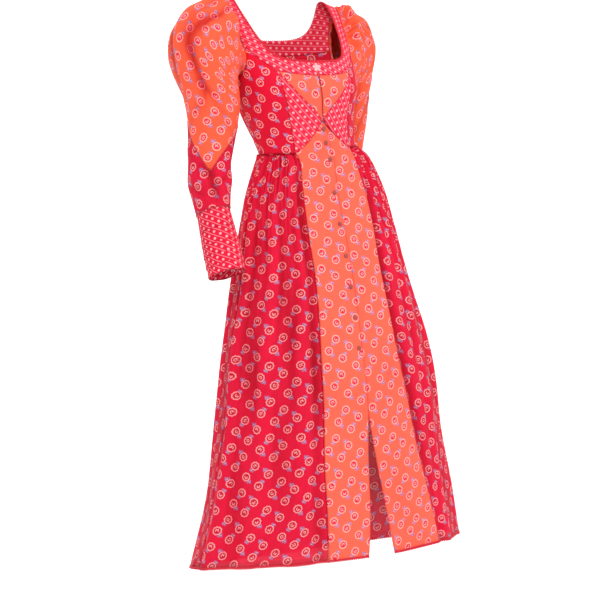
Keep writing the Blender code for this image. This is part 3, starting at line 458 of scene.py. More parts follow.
def dipped(points, normals, edges="tblr", depth=0.0009, reach=0.0035):
    """Draws the sewn edges in a little, as a seam does."""
    over, down = lengths(points, 1), lengths(points, 0)
    edge = {"t": down, "b": down[-1:] - down, "l": over, "r": over[:, -1:] - over}
    near = np.minimum.reduce([edge[e] for e in edges])
    return points - (depth * np.exp(-(near / reach) ** 2))[..., None] * normals


def unequal(first, last, steps, edge_share):
    """Shares from first to last with one close step at each end, so that a seam is sharp."""
    inner = np.linspace(edge_share, 1 - edge_share, steps - 1)
    shares = np.concatenate([[0.0, edge_share * 0.45], inner, [1 - edge_share * 0.45, 1.0]])
    return first + (last - first) * shares


# ---- small things, each kind one mesh made from many copies ----

def model_of(add, scale=(1, 1, 1), **settings):
    """Vertices and faces of a primitive, which is then removed."""
    bpy.ops.object.select_all(action="DESELECT")
    add(**settings)
    item = bpy.context.object
    points = np.array([v.co[:] for v in item.data.vertices]) * np.array(scale)
    faces = [tuple(p.vertices) for p in item.data.polygons]
    mesh = item.data
    bpy.data.objects.remove(item)
    bpy.data.meshes.remove(mesh)
    return points, faces


def tube(points, radius, sides=6, closed=False, shade=None):
    """Vertices and faces of a round thread along a line of points."""
    points = np.asarray(points, float)
    count = len(points)
    if closed:
        run = unit(np.roll(points, -1, axis=0) - np.roll(points, 1, axis=0))
    else:
        run = unit(np.gradient(points, axis=0))
    guide = np.broadcast_to(np.array([0.31, 0.17, 0.94]), run.shape)
    across = unit(np.cross(run, guide))
    up = np.cross(across, run)
    turn = 2 * math.pi * np.arange(sides) / sides
    radius = np.broadcast_to(np.asarray(radius, float), (count,))
    ring = (np.cos(turn)[None, :, None] * across[:, None] + np.sin(turn)[None, :, None] * up[:, None])
    verts = (points[:, None] + radius[:, None, None] * ring).reshape(-1, 3)
    faces = []
    for row in range(count if closed else count - 1):
        for column in range(sides):
            beside, below = (column + 1) % sides, (row + 1) % count
            faces.append((row * sides + column, row * sides + beside,
                          below * sides + beside, below * sides + column))
    if not closed:
        faces.append(tuple(reversed(range(sides))))
        faces.append(tuple((count - 1) * sides + c for c in range(sides)))
    return verts, faces


def copies(model, origins, across, up, out):
    """The model at many places: its x runs across, its y up and its z out."""
    points, faces = model
    verts = (origins[:, None] + points[None, :, :1] * across[:, None]
             + points[None, :, 1:2] * up[:, None] + points[None, :, 2:3] * out[:, None])
    made = []
    for number in range(len(origins)):
        start = number * len(points)
        made += [tuple(start + i for i in face) for face in faces]
    return verts.reshape(-1, 3), made


def add_small(name, parts, material, replaces=()):
    """One object made of several lists of vertices and faces."""
    verts, faces, start = [], [], 0
    for points, some in parts:
        verts.append(points)
        faces += [tuple(start + i for i in face) for face in some]
        start += len(points)
    mesh = bpy.data.meshes.new(name)
    mesh.from_pydata(np.concatenate(verts).tolist(), [], faces)
    item = bpy.data.objects.new(name, mesh)
    bpy.context.scene.collection.objects.link(item)
    select_only(item)
    bpy.ops.object.mode_set(mode="EDIT")
    bpy.ops.mesh.select_all(action="SELECT")
    bpy.ops.mesh.normals_make_consistent(inside=False)
    bpy.ops.object.mode_set(mode="OBJECT")
    mesh.shade_smooth()
    mesh.set_sharp_from_angle(angle=math.radians(60))
    return ready(item, material, replaces)


def steps_along(line, others, pitch, start=0.0):
    """Even places along a line of points, with the same places on other lines."""
    length = np.concatenate([[0], np.cumsum(np.linalg.norm(np.diff(line, axis=0), axis=1))])
    count = max(2, int(round((length[-1] - 2 * start) / pitch)))
    at = np.linspace(start, length[-1] - start, count)
    pick = lambda values: np.stack([np.interp(at, length, values[:, i]) for i in range(3)], -1)
    return [pick(line)] + [pick(values) for values in others]


STITCH = None


def stitches(line, normals, pitch=0.0034, start=0.002):
    """A row of short stitches laid on a line of points."""
    line = line + 0.0003 * normals
    places, out = steps_along(line, [normals], pitch, start)
    run = unit(np.gradient(places, axis=0))
    out = unit(out - (out * run).sum(-1, keepdims=True) * run)
    return copies(STITCH, places, run, np.cross(out, run), out)

# ---- finishes ----

class Graph:
    """Short ways to put shader nodes into a tree."""

    def __init__(self, tree):
        self.tree = tree

    def put(self, kind, inputs=None, **settings):
        node = self.tree.nodes.new(kind)
        for key, value in settings.items():
            setattr(node, key, value)
        for key, value in (inputs or {}).items():
            if isinstance(value, bpy.types.NodeSocket):
                self.tree.links.new(value, node.inputs[key])
            else:
                node.inputs[key].default_value = value
        return node

    def math(self, operation, *values):
        return self.put("ShaderNodeMath", dict(enumerate(values)), operation=operation).outputs[0]

    def vector(self, operation, *values):
        return self.put("ShaderNodeVectorMath", dict(enumerate(values)), operation=operation).outputs[0]

    def sum_of(self, a, x, b, y):
        return self.math("ADD", self.math("MULTIPLY", x, a), self.math("MULTIPLY", y, b))

    def step(self, value, low, high):
        """1 where the value is over high, 0 under low, smooth between. Low may be over high."""
        return self.put("ShaderNodeMapRange", {"Value": value, "From Min": low, "From Max": high},
                        interpolation_type="SMOOTHSTEP").outputs[0]

    def band(self, value, half, soft):
        """1 where the value is within half of 0."""
        return self.step(self.math("ABSOLUTE", value), half + soft, half - soft)

    def blend(self, share, a, b):
        node = self.put("ShaderNodeMix", None, data_type="RGBA")
        for key, value in ((0, share), (6, a), (7, b)):
            if isinstance(value, bpy.types.NodeSocket):
                self.tree.links.new(value, node.inputs[key])
            elif key:
                node.inputs[key].default_value = (*value, 1.0)
            else:
                node.inputs[key].default_value = value
        return node.outputs[2]


def group(name, inputs, outputs):
    tree = bpy.data.node_groups.new(name, "ShaderNodeTree")
    kinds = {"v": "NodeSocketVector", "c": "NodeSocketColor", "f": "NodeSocketFloat"}
    for word, kind in inputs:
        tree.interface.new_socket(word, in_out="INPUT", socket_type=kinds[kind])
    for word, kind in outputs:
        tree.interface.new_socket(word, in_out="OUTPUT", socket_type=kinds[kind])
    g = Graph(tree)
    return tree, g, tree.nodes.new("NodeGroupInput"), tree.nodes.new("NodeGroupOutput")


def lattice(g, x, y, first, second, shift=(0.0, 0.0)):
    """Nearest point of a lattice. Returns its number in each direction and the way from it."""
    det = first[0] * second[1] - first[1] * second[0]
    a = g.math("ADD", g.sum_of(second[1] / det, x, -second[0] / det, y), shift[0])
    b = g.math("ADD", g.sum_of(-first[1] / det, x, first[0] / det, y), shift[1])
    a_cell, b_cell = g.math("ROUND", a), g.math("ROUND", b)
    a_off, b_off = g.math("SUBTRACT", a, a_cell), g.math("SUBTRACT", b, b_cell)
    return (a_cell, b_cell, g.sum_of(first[0], a_off, second[0], b_off),
            g.sum_of(first[1], a_off, second[1], b_off))


def turned_way(g, x, y, turn):
    """The way (x, y) seen from axes turned by an angle."""
    c, s = g.math("COSINE", turn), g.math("SINE", turn)
    return (g.math("ADD", g.math("MULTIPLY", x, c), g.math("MULTIPLY", y, s)),
            g.math("SUBTRACT", g.math("MULTIPLY", y, c), g.math("MULTIPLY", x, s)))


def rose_print():
    """Pale scalloped roses, each with a sprig of small leaves and buds beside it."""
    tree, g, start, end = group(
        "rose print", [("Cloth", "v"), ("Ground", "c"), ("Petal", "c"), ("Core", "c"), ("Leaf", "c")],
        [("Color", "c"), ("Print", "f")])
    cm = g.vector("SCALE", start.outputs["Cloth"])
    cm.node.inputs["Scale"].default_value = 100.0
    xy = g.put("ShaderNodeSeparateXYZ", {0: cm})
    x, y = xy.outputs[0], xy.outputs[1]
    a, b, px, py = lattice(g, x, y, (2.9, -1.8), (-1.25, -2.88))
    side = g.math("SUBTRACT", 1.0, g.math("MULTIPLY", g.math("PINGPONG", b, 1.0), 2.0))
    rise = g.math("SUBTRACT", 1.0, g.math("MULTIPLY", g.math("PINGPONG", a, 1.0), 2.0))
    px = g.math("ADD", px, g.math("MULTIPLY", side, 0.275))
    py = g.math("SUBTRACT", py, g.math("MULTIPLY", side, 0.26))
    cell = g.put("ShaderNodeCombineXYZ", {0: a, 1: b}).outputs[0]
    chance = g.put("ShaderNodeTexWhiteNoise", {"Vector": cell}, noise_dimensions="3D").outputs["Value"]
    r = g.math("SQRT", g.sum_of(1.0, g.math("MULTIPLY", px, px), 1.0, g.math("MULTIPLY", py, py)))
    turn = g.math("ADD", g.math("ARCTAN2", py, px), g.math("MULTIPLY", chance, 6.28))
    lobe = g.math("ABSOLUTE", g.math("SINE", g.math("MULTIPLY", turn, 4.5)))
    rim = g.math("ADD", g.math("MULTIPLY", lobe, 0.12), 0.74)
    outline = g.band(g.math("SUBTRACT", r, rim), 0.070, 0.04)
    inner_rim = g.math("ADD", g.math("MULTIPLY", g.math("SINE", g.math("MULTIPLY", turn, 5.0)), 0.04), 0.53)
    inner = g.band(g.math("SUBTRACT", r, inner_rim), 0.065, 0.02)
    core = g.step(r, 0.56, 0.46)
    curl = g.band(g.math("SUBTRACT", r, 0.27), 0.055, 0.03)
    curl = g.math("MULTIPLY", curl, g.step(g.math("SINE", turn), -0.75, -0.45))
    way_x, way_y = turned_way(g, px, py, g.math("MULTIPLY", chance, 6.28))
    tick = g.band(g.math("SUBTRACT", g.math("ABSOLUTE", way_x), g.math("MULTIPLY", way_y, 0.55)), 0.035, 0.015)
    tick = g.math("MULTIPLY", tick, g.math("MULTIPLY", g.step(way_y, 0.0, 0.05), g.step(way_y, 0.5, 0.42)))

    leaves, buds = None, None
    bx, by = g.math("MULTIPLY", px, side), g.math("MULTIPLY", py, rise)
    for leaf_x, leaf_y, size in ((0.46, -1.10, 0.27), (0.86, -0.78, 0.30), (1.00, -1.18, 0.25),
                                 (0.70, -0.98, 0.11), (0.98, -0.92, 0.09)):
        off_x, off_y = g.math("SUBTRACT", bx, leaf_x), g.math("SUBTRACT", by, leaf_y)
        away = g.math("SQRT", g.sum_of(1.0, g.math("MULTIPLY", off_x, off_x), 1.0, g.math("MULTIPLY", off_y, off_y)))
        spot = g.step(away, size + 0.03, size - 0.06)
        if size > 0.2:
            leaves = spot if leaves is None else g.math("MAXIMUM", leaves, spot)
        else:
            buds = spot if buds is None else g.math("MAXIMUM", buds, spot)

    petal, core_colour = start.outputs["Petal"], start.outputs["Core"]
    colour = g.blend(g.math("MULTIPLY", g.step(r, 0.84, 0.78), 0.16), start.outputs["Ground"], petal)
    colour = g.blend(inner, colour, core_colour)
    colour = g.blend(core, colour, core_colour)
    colour = g.blend(g.math("MAXIMUM", curl, tick), colour, petal)
    colour = g.blend(g.math("MULTIPLY", leaves, 0.8), colour, start.outputs["Leaf"])
    colour = g.blend(g.math("MULTIPLY", buds, 0.9), colour, petal)
    colour = g.blend(g.math("MULTIPLY", outline, 0.95), colour, petal)
    printed = g.math("MAXIMUM", g.math("MAXIMUM", outline, leaves), g.math("MAXIMUM", core, inner))
    g.tree.links.new(colour, end.inputs["Color"])
    g.tree.links.new(printed, end.inputs["Print"])
    return tree


def dot_print():
    """Staggered pale dots in slanting rows, with thin double lines between the rows."""
    tree, g, start, end = group(
        "dot print", [("Cloth", "v"), ("Ground", "c"), ("Dot", "c"), ("Mark", "c")],
        [("Color", "c"), ("Print", "f")])
    cm = g.vector("SCALE", start.outputs["Cloth"])
    cm.node.inputs["Scale"].default_value = 100.0
    xy = g.put("ShaderNodeSeparateXYZ", {0: cm})
    x, y = xy.outputs[0], xy.outputs[1]
    a, b, px, py = lattice(g, x, y, (1.46, 0.0), (0.73, 1.30))
    r = g.math("SQRT", g.sum_of(1.0, g.math("MULTIPLY", px, px), 1.0, g.math("MULTIPLY", py, py)))
    dot = g.step(r, 0.30, 0.23)
    turn = g.math("ARCTAN2", py, px)
    mark = g.math("MULTIPLY", g.band(g.math("SUBTRACT", r, 0.13), 0.03, 0.015), g.step(turn, -2.3, -2.1))
    wide = g.math("SUBTRACT", g.math("ABSOLUTE", py), 0.65)
    line = g.band(g.math("ADD", wide, 0.05), 0.034, 0.02)
    beads = g.step(g.math("SINE", g.math("MULTIPLY", x, 40.0)), -0.5, 0.0)
    line = g.math("MULTIPLY", line, g.math("ADD", g.math("MULTIPLY", beads, 0.4), 0.3))
    colour = g.blend(line, start.outputs["Ground"], start.outputs["Dot"])
    colour = g.blend(g.math("MULTIPLY", dot, 0.95), colour, start.outputs["Dot"])
    colour = g.blend(g.math("MULTIPLY", mark, 0.6), colour, start.outputs["Mark"])
    g.tree.links.new(colour, end.inputs["Color"])
    g.tree.links.new(dot, end.inputs["Print"])
    return tree


def weave():
    """Plain weave: over-and-under height, and the small change of colour from thread to thread."""
    tree, g, start, end = group("weave", [("Cloth", "v"), ("Pitch", "f")], [("Height", "f"), ("Thread", "f")])
    xy = g.put("ShaderNodeSeparateXYZ", {0: start.outputs["Cloth"]})
    across = g.math("DIVIDE", xy.outputs[0], start.outputs["Pitch"])
    down = g.math("DIVIDE", xy.outputs[1], start.outputs["Pitch"])
    warp = g.math("MULTIPLY", g.math("SINE", g.math("MULTIPLY", across, math.pi)),
                  g.math("COSINE", g.math("MULTIPLY", down, math.pi)))
    cell = g.put("ShaderNodeCombineXYZ", {0: g.math("FLOOR", across), 1: g.math("FLOOR", g.math("DIVIDE", down, 60.0))})
    slub = g.put("ShaderNodeTexWhiteNoise", {"Vector": cell.outputs[0]}, noise_dimensions="3D")
    g.tree.links.new(g.math("ADD", g.math("MULTIPLY", warp, 0.5), 0.5), end.inputs["Height"])
    g.tree.links.new(slub.outputs["Value"], end.inputs["Thread"])
    return tree


def wear_and_painted_shade():
    """Soft, uneven lightening and darkening, a darker run beside turned edges, and painted shade beside the drawn-in
    seams and in the troughs of folds; all the darkening goes towards deep red.
    """
    tree, g, start, end = group(
        "wear_and_painted_shade", [("Place", "v"), ("Color", "c"), ("Seam", "f"), ("Edge", "f"), ("Turning", "f"), ("Depth", "f"),
                 ("Fold", "f")],
        [("Color", "c"), ("Crease", "f")])
    slow = g.put("ShaderNodeTexNoise", {"Vector": start.outputs["Place"], "Scale": 9.0, "Detail": 3.0,
                                       "Roughness": 0.55}).outputs["Fac"]
    fine = g.put("ShaderNodeTexNoise", {"Vector": start.outputs["Place"], "Scale": 46.0, "Detail": 4.0,
                                       "Roughness": 0.6, "Distortion": 0.6}).outputs["Fac"]
    shade = g.math("ADD", g.math("MULTIPLY", slow, 0.22), g.math("MULTIPLY", fine, 0.10))
    value = g.math("ADD", shade, 0.84)
    # Painted shade: the cloth beside sewn edges is darkened for the shade of the drawn-in seams.
    seam = g.step(start.outputs["Seam"], 0.0034, 0.0004)
    turning = g.step(g.math("SUBTRACT", start.outputs["Edge"], start.outputs["Turning"]), 0.0006, -0.0006)
    ridge = g.band(g.math("SUBTRACT", start.outputs["Edge"], start.outputs["Turning"]), 0.0007, 0.0005)
    dark = g.math("ADD", g.math("MULTIPLY", seam, 0.55),
                  g.math("MULTIPLY", g.math("ADD", turning, ridge), start.outputs["Depth"]))
    # Painted shade: points deep in the troughs of folds, from the fold attribute, are darkened.
    dark = g.math("ADD", dark, g.math("MULTIPLY", start.outputs["Fold"], 0.85))
    # The painted shade and the turned-edge darkening go towards deep red rather than grey.
    shade_tint = g.blend(dark, (1.0, 1.0, 1.0), (0.50, 0.012, 0.14))
    scaled = g.vector("SCALE", g.vector("MULTIPLY", start.outputs["Color"], shade_tint))
    g.tree.links.new(value, scaled.node.inputs["Scale"])
    g.tree.links.new(scaled, end.inputs["Color"])
    g.tree.links.new(fine, end.inputs["Crease"])
    return tree


GROUPS = {}


def new_material(name, **sockets):
    material = bpy.data.materials.new(name)
    material.use_nodes = True
    shader = material.node_tree.nodes["Principled BSDF"]
    for key, value in sockets.items():
        shader.inputs[key.replace("_", " ")].default_value = value
    return material, shader, Graph(material.node_tree)


def cloth_material(name, printing, colours, pitch=0.00055, turning=0.008, depth=0.0, roughness=0.72,
                   **sockets):
    """Printed cloth: its print, the weave, uneven tone, painted shade in seams and folds, creases and turned edges."""
    material, shader, g = new_material(name, **sockets)
    cloth = g.put("ShaderNodeUVMap", uv_map="cloth").outputs[0]
    place = g.put("ShaderNodeTexCoord").outputs["Object"]
    pattern = g.put("ShaderNodeGroup", node_tree=GROUPS[printing])
    g.tree.links.new(cloth, pattern.inputs["Cloth"])
    for word, value in colours.items():
        pattern.inputs[word].default_value = (*value, 1.0)
    threads = g.put("ShaderNodeGroup", node_tree=GROUPS["weave"])
    g.tree.links.new(cloth, threads.inputs["Cloth"])
    threads.inputs["Pitch"].default_value = pitch
    worn_and_shaded = g.put("ShaderNodeGroup", node_tree=GROUPS["wear_and_painted_shade"])
    g.tree.links.new(place, worn_and_shaded.inputs["Place"])
    g.tree.links.new(pattern.outputs["Color"], worn_and_shaded.inputs["Color"])
    # The seam and fold attributes place the painted shade; the edge attribute places the turned-edge darkening.
    for word in ("seam", "edge", "fold"):
        source = g.put("ShaderNodeAttribute", attribute_name=word, attribute_type="GEOMETRY")
        g.tree.links.new(source.outputs["Fac"], worn_and_shaded.inputs[word.capitalize()])
    worn_and_shaded.inputs["Turning"].default_value = turning
    worn_and_shaded.inputs["Depth"].default_value = depth
    thread = g.math("ADD", g.math("MULTIPLY", threads.outputs["Thread"], 0.07), 0.965)
    colour = g.vector("SCALE", worn_and_shaded.outputs["Color"])
    g.tree.links.new(thread, colour.node.inputs["Scale"])
    g.tree.links.new(colour, shader.inputs["Base Color"])
    rough = g.math("ADD", g.math("MULTIPLY", worn_and_shaded.outputs["Crease"], 0.14), roughness - 0.07)
    rough = g.math("SUBTRACT", rough, g.math("MULTIPLY", pattern.outputs["Print"], 0.05))
    g.tree.links.new(rough, shader.inputs["Roughness"])
    crinkle = g.put("ShaderNodeBump", {"Height": worn_and_shaded.outputs["Crease"], "Strength": 0.45, "Distance": 0.004})
    woven = g.put("ShaderNodeBump", {"Height": threads.outputs["Height"], "Strength": 0.5, "Distance": 0.00012,
                                     "Normal": crinkle.outputs[0]})
    g.tree.links.new(woven.outputs[0], shader.inputs["Normal"])
    return material


def trim_material(name, colour, other, scale, roughness, bump=0.3, distance=0.0004, **sockets):
    """Thread, covered button, resin or metal: two close tones, spotted at a scale, with a fine bump."""
    material, shader, g = new_material(name, **sockets)
    place = g.put("ShaderNodeTexCoord").outputs["Object"]
    spots = g.put("ShaderNodeTexNoise", {"Vector": place, "Scale": scale, "Detail": 3.0}).outputs["Fac"]
    slow = g.put("ShaderNodeTexNoise", {"Vector": place, "Scale": 30.0, "Detail": 2.0}).outputs["Fac"]
    share = g.math("ADD", g.math("MULTIPLY", g.step(spots, 0.35, 0.65), 0.6), g.math("MULTIPLY", slow, 0.4))
    g.tree.links.new(g.blend(share, colour, other), shader.inputs["Base Color"])
    g.tree.links.new(g.math("ADD", g.math("MULTIPLY", spots, 0.2), roughness - 0.1), shader.inputs["Roughness"])
    bumped = g.put("ShaderNodeBump", {"Height": spots, "Strength": bump, "Distance": distance})
    g.tree.links.new(bumped.outputs[0], shader.inputs["Normal"])
    return material


def linear(*colour):
    """A colour given as it looks on a screen, 0 to 255, as the shader reads it."""
    return tuple(((c / 255 + 0.055) / 1.055) ** 2.4 if c > 10 else c / 255 / 12.92 for c in colour)


GROUPS.update({"rose": rose_print(), "dot": dot_print(), "weave": weave(), "wear_and_painted_shade": wear_and_painted_shade()})
PETAL, CORE, LEAF = linear(252, 182, 180), linear(226, 34, 62), linear(136, 118, 168)
M = {
    "orange": cloth_material("orange_rose_print", "rose",
                             {"Ground": linear(252, 96, 74), "Petal": PETAL, "Core": CORE, "Leaf": LEAF},
                             depth=0.30, turning=0.0014, Sheen_Weight=0.02, Sheen_Roughness=0.5, Specular_IOR_Level=0.12),
    # The sleeves take a darker, duller copy of the orange print: painted shade on the sleeves.
    "sleeve": cloth_material("orange_rose_print_sleeve_shaded", "rose",
                             {"Ground": linear(238, 88, 58), "Petal": PETAL, "Core": CORE, "Leaf": LEAF},
                             Sheen_Weight=0.02, Sheen_Roughness=0.5, Specular_IOR_Level=0.12),
    "red": cloth_material("red_rose_print", "rose",
                          {"Ground": linear(212, 14, 48), "Petal": PETAL, "Core": linear(198, 12, 50), "Leaf": LEAF},
                          Sheen_Weight=0.02, Sheen_Roughness=0.5, Specular_IOR_Level=0.12),
    "voile": cloth_material("red_rose_print_sheer", "rose",
                            {"Ground": linear(220, 18, 56), "Petal": PETAL, "Core": linear(198, 12, 50), "Leaf": LEAF},
                            depth=0.22, turning=0.012, Alpha=0.86, Sheen_Weight=0.02, Sheen_Roughness=0.5,
                            Specular_IOR_Level=0.12),
    "dots": cloth_material("dot_print", "dot",
                           {"Ground": linear(232, 38, 68), "Dot": linear(250, 184, 192), "Mark": linear(220, 60, 100)},
                           Sheen_Weight=0.02, Sheen_Roughness=0.5, Specular_IOR_Level=0.12),
    # The cuffs take a darker copy of the dot print: painted shade on the cuffs.
    "cuff": cloth_material("dot_print_cuff_shaded", "dot",
                           {"Ground": linear(214, 18, 52), "Dot": linear(248, 176, 186), "Mark": linear(200, 40, 80)},
                           depth=0.35, turning=0.0022, Sheen_Weight=0.02, Sheen_Roughness=0.5,
                           Specular_IOR_Level=0.12),
    "edging": trim_material("picot_trim", linear(222, 14, 50), linear(186, 8, 38), 900.0, 0.75),
    "thread": trim_material("red_thread", linear(190, 18, 42), linear(140, 8, 28), 1200.0, 0.7, Sheen_Weight=0.2),
    "button": trim_material("covered_button", linear(176, 66, 52), linear(140, 40, 36), 700.0, 0.5,
                            Sheen_Weight=0.2),
    "resin": trim_material("pale_resin", linear(234, 174, 178), linear(232, 168, 172), 260.0, 0.22, bump=0.15,
                           Coat_Weight=0.4, Coat_Roughness=0.12, Subsurface_Weight=0.25, Subsurface_Scale=0.003),
    "hook": trim_material("dark_red_hook", linear(120, 14, 32), linear(84, 8, 24), 500.0, 0.45),
}


# ---- bodice ----

STITCH = model_of(bpy.ops.mesh.primitive_uv_sphere_add, (0.00115, 0.00032, 0.00028),
                  segments=6, ring_count=4, radius=1)
BODICE_ROWS = 7 * FINE
INSET_COLUMNS, YOKE_COLUMNS = 6 * FINE, 5 * FINE
ARMHOLE_COLUMNS, BACK_YOKE_COLUMNS = 9 * FINE, 6 * FINE

# Small creases of the bodice. Columns: angle, height, half length in degrees, half
# width in metres, depth, slant in metres for each degree.
BODICE_CREASES = [
    (20, -0.236, 9, 0.0035, -0.0011, 0.0010), (47, -0.226, 9, 0.0040, -0.0014, 0.0009),
    (64, -0.205, 11, 0.0045, -0.0018, 0.0012), (58, -0.262, 12, 0.0040, -0.0015, 0.0008),
    (76, -0.285, 12, 0.0045, -0.0018, -0.0006), (50, -0.300, 10, 0.0035, -0.0014, 0.0004),
    (66, -0.178, 8, 0.0040, -0.0016, -0.0014), (98, -0.240, 12, 0.0045, -0.0018, 0.0006),
    (112, -0.290, 12, 0.0045, -0.0018, -0.0005), (140, -0.300, 16, 0.0045, -0.0018, 0.0002),
    (168, -0.270, 16, 0.0045, -0.0016, -0.0002), (125, -0.215, 12, 0.0045, -0.0018, 0.0010),
    (152, -0.180, 12, 0.0045, -0.0015, 0.0006), (84, -0.318, 10, 0.0035, -0.0014, 0.0003),
]


def bodice_creases(angle, height):
    total = np.zeros(np.broadcast(angle, height).shape)
    turn = np.degrees(angle)
    turn = (turn + 180) % 360 - 180
    for middle, level, reach, width, depth, slant in BODICE_CREASES:
        for side, lower in ((1, 0.0), (-1, 0.006)):
            off = (side * turn - middle + (side < 0) * 3 + 180) % 360 - 180
            line = level - lower + slant * off + 0.002 * np.sin(off * 0.35 + middle)
            total = total + depth * np.exp(-(off / reach) ** 2 - ((height - line) / width) ** 2)
    return total


def bodice_sheet(places, edges):
    """Points and outward directions of a bodice piece, with creases and drawn-in seams."""
    angle, height = places[..., 0], places[..., 1]
    normals = bodice_normal(angle, height)
    middle = form(angle, height) + bodice_creases(angle, height)[..., None] * normals
    return dipped(outside(middle, normals), normals, edges), normals


rows = np.linspace(0, 1, BODICE_ROWS + 1)
inset_top = evenly(YOKE_INSET, INSET_COLUMNS)
side_top = evenly(YOKE_SIDE, YOKE_COLUMNS)
inset_edge = along(INSET_EDGE, rows)
princess = along(PRINCESS, rows)
peak_shares = np.linspace(0, 1, 31)
peak = along(PEAK, peak_shares)
side_seam = np.stack([np.full(len(rows), math.pi / 2), -0.175 + rows * (WAIST + 0.175)], -1)
front_top = evenly(ARMHOLE_FRONT_TOP, ARMHOLE_COLUMNS)
front_low = evenly(ARMHOLE_FRONT_LOW, ARMHOLE_COLUMNS)
back_top = evenly(ARMHOLE_BACK_TOP, ARMHOLE_COLUMNS)
back_low = evenly(ARMHOLE_BACK_LOW, ARMHOLE_COLUMNS)
yoke_back = evenly(YOKE_BACK, BACK_YOKE_COLUMNS)
centre_inset = np.stack([0 * rows, -0.170 + rows * (-0.266 + 0.170)], -1)
side_front_top = joined(side_top, front_low)
side_front_waist = np.stack([np.linspace(princess[-1][0], math.pi / 2, len(side_front_top)),
                             np.full(len(side_front_top), WAIST)], -1)
outer = np.concatenate([inset_top, side_top, front_top[::-1][1:]])
neck = along(NECK_FRONT, np.concatenate([np.linspace(0, 0.42, len(inset_top)),
                                         0.44 + np.linspace(0, 0.16, len(side_top)),
                                         np.linspace(0.60, 1, len(front_top))[1:]]))
across_band = np.linspace(0, 1, 9)[:, None, None]
# How far the grain of each slanted band is turned, in radians.
BAND_TURN = {"right": 0.65, "left": 0.65}
BUST_TURN = {"right": 0.95, "left": 0.95}
thread_rows = {"bodice": [], "skirt": []}
neck_edges = {}
cloth = {}
for side, word in ((-1, "right"), (1, "left")):
    band = turned(neck, side) * (1 - across_band) + turned(outer, side) * across_band
    middle, normals = bodice_sheet(band, "b")
    neck_edges[word] = middle, normals
    cloth["neck_band_front_" + word] = (middle, "dots", dict(sewn="b", free="t", turn=BAND_TURN[word],
                                                             grain=grain_on(band[..., 0], band[..., 1], 30 * side)))
    thread_rows["bodice"] += [stitches(middle[1] * 0.4 + middle[2] * 0.6, normals[1]),
                              stitches(middle[-2], normals[-2])]
    places = patch(inset_top, np.linspace(centre_inset[-1], inset_edge[-1], len(inset_top)),
                   centre_inset, inset_edge)
    places[..., 0] *= side
    middle, normals = bodice_sheet(places, "tlr")
    cloth["front_inset_" + word] = (middle, "orange", dict(sewn="tr", free="l",
                                                           grain=grain_on(places[..., 0], places[..., 1], 0)))
    places = patch(np.linspace(inset_edge[0], princess[0], len(peak)), peak, inset_edge, princess)
    places[..., 0] *= side
    middle, normals = bodice_sheet(places, "blr")
    cloth["bust_band_" + word] = (middle, "dots", dict(sewn="blr", turn=BUST_TURN[word],
                                                       grain=grain_on(places[..., 0], places[..., 1], 25 * side)))
    thread_rows["bodice"] += [stitches(middle[:, 1], normals[:, 1]), stitches(middle[-2], normals[-2])]
    places = patch(side_front_top, side_front_waist, princess, side_seam)
    places[..., 0] *= side
    middle, normals = bodice_sheet(places, "tblr")
    cloth["side_front_" + word] = (middle, "red", dict(sewn="tblr",
                                                       grain=grain_on(places[..., 0], places[..., 1], 58 * side)))
    thread_rows["bodice"] += [stitches(middle[:, 1], normals[:, 1])]

neck_back = along(NECK_BACK, np.concatenate([np.linspace(0, 0.45, len(back_top)),
                                             np.linspace(0.45, 1, len(yoke_back))[1:]]))
outer_back = joined(back_top, yoke_back)


def whole_back(line):
    """A line of the back's left half carried on over its right half."""
    other = line[::-1][1:].copy()
    other[:, 0] = 2 * math.pi - other[:, 0]
    return np.concatenate([line, other])


neck_back = whole_back(turned(neck_back, 1, back=True))
outer_back = whole_back(turned(outer_back, 1, back=True))
places = neck_back * (1 - across_band) + outer_back * across_band
middle, normals = bodice_sheet(places, "b")
neck_edges["back"] = middle, normals
cloth["neck_band_back"] = (middle, "dots", dict(sewn="b", free="t",
                                                grain=grain_on(places[..., 0], places[..., 1], 180)))
thread_rows["bodice"] += [stitches(middle[1] * 0.4 + middle[2] * 0.6, normals[1]),
                          stitches(middle[-2], normals[-2])]
top = whole_back(turned(joined(back_low[::-1], yoke_back), 1, back=True))
waist = np.stack([np.linspace(math.pi / 2, 1.5 * math.pi, len(top)), np.full(len(top), WAIST)], -1)
right_seam = side_seam.copy()
right_seam[:, 0] = 1.5 * math.pi
places = patch(top, waist, side_seam, right_seam)
middle, normals = bodice_sheet(places, "tblr")
cloth["bodice_back"] = (middle, "red", dict(sewn="tblr", grain=grain_on(places[..., 0], places[..., 1], 180)))
armhole = np.concatenate([front_top, front_low[1:], turned(back_low[::-1], 1, back=True)[1:],
                          turned(back_top[::-1], 1, back=True)[1:-1]])


# ---- skirt ----

SKIRT_ROWS_FINE = 150
GATHER_END = -0.60


def folds_from(table, angle, height, kept_at_hem):
    total = np.zeros(np.broadcast(angle, height).shape)
    for middle, spread, depth, start, fullest in table:
        off = (np.degrees(angle) - middle + 180) % 360 - 180
        grown = eased((start - height) / (start - fullest))
        kept = 1 - (1 - kept_at_hem) * eased((fullest - height) / (fullest + 1.2))
        total = total + depth * grown * kept * np.exp(-(off / spread) ** 2)
    return total


def skirt_sheet(angle, height, move):
    normals = level_normal(angle, height)
    wander = 0.0016 * np.sin(9 * angle + 21 * height) * eased((-0.40 - height) / 0.3)
    move = move + wander + folds_from(SKIRT_FOLDS, angle, height, FOLD_KEPT_AT_HEM)
    move = move + folds_from(SKIRT_CREASES, angle + 0.025 * np.sin(14 * height), height, 0.35)
    # How deep each point lies in a trough, for the painted shade of the folds.
    fold = np.clip(-move / 0.011, 0, 1) ** 1.2
    return outside(form(angle, height) + move[..., None] * normals, normals), normals, fold


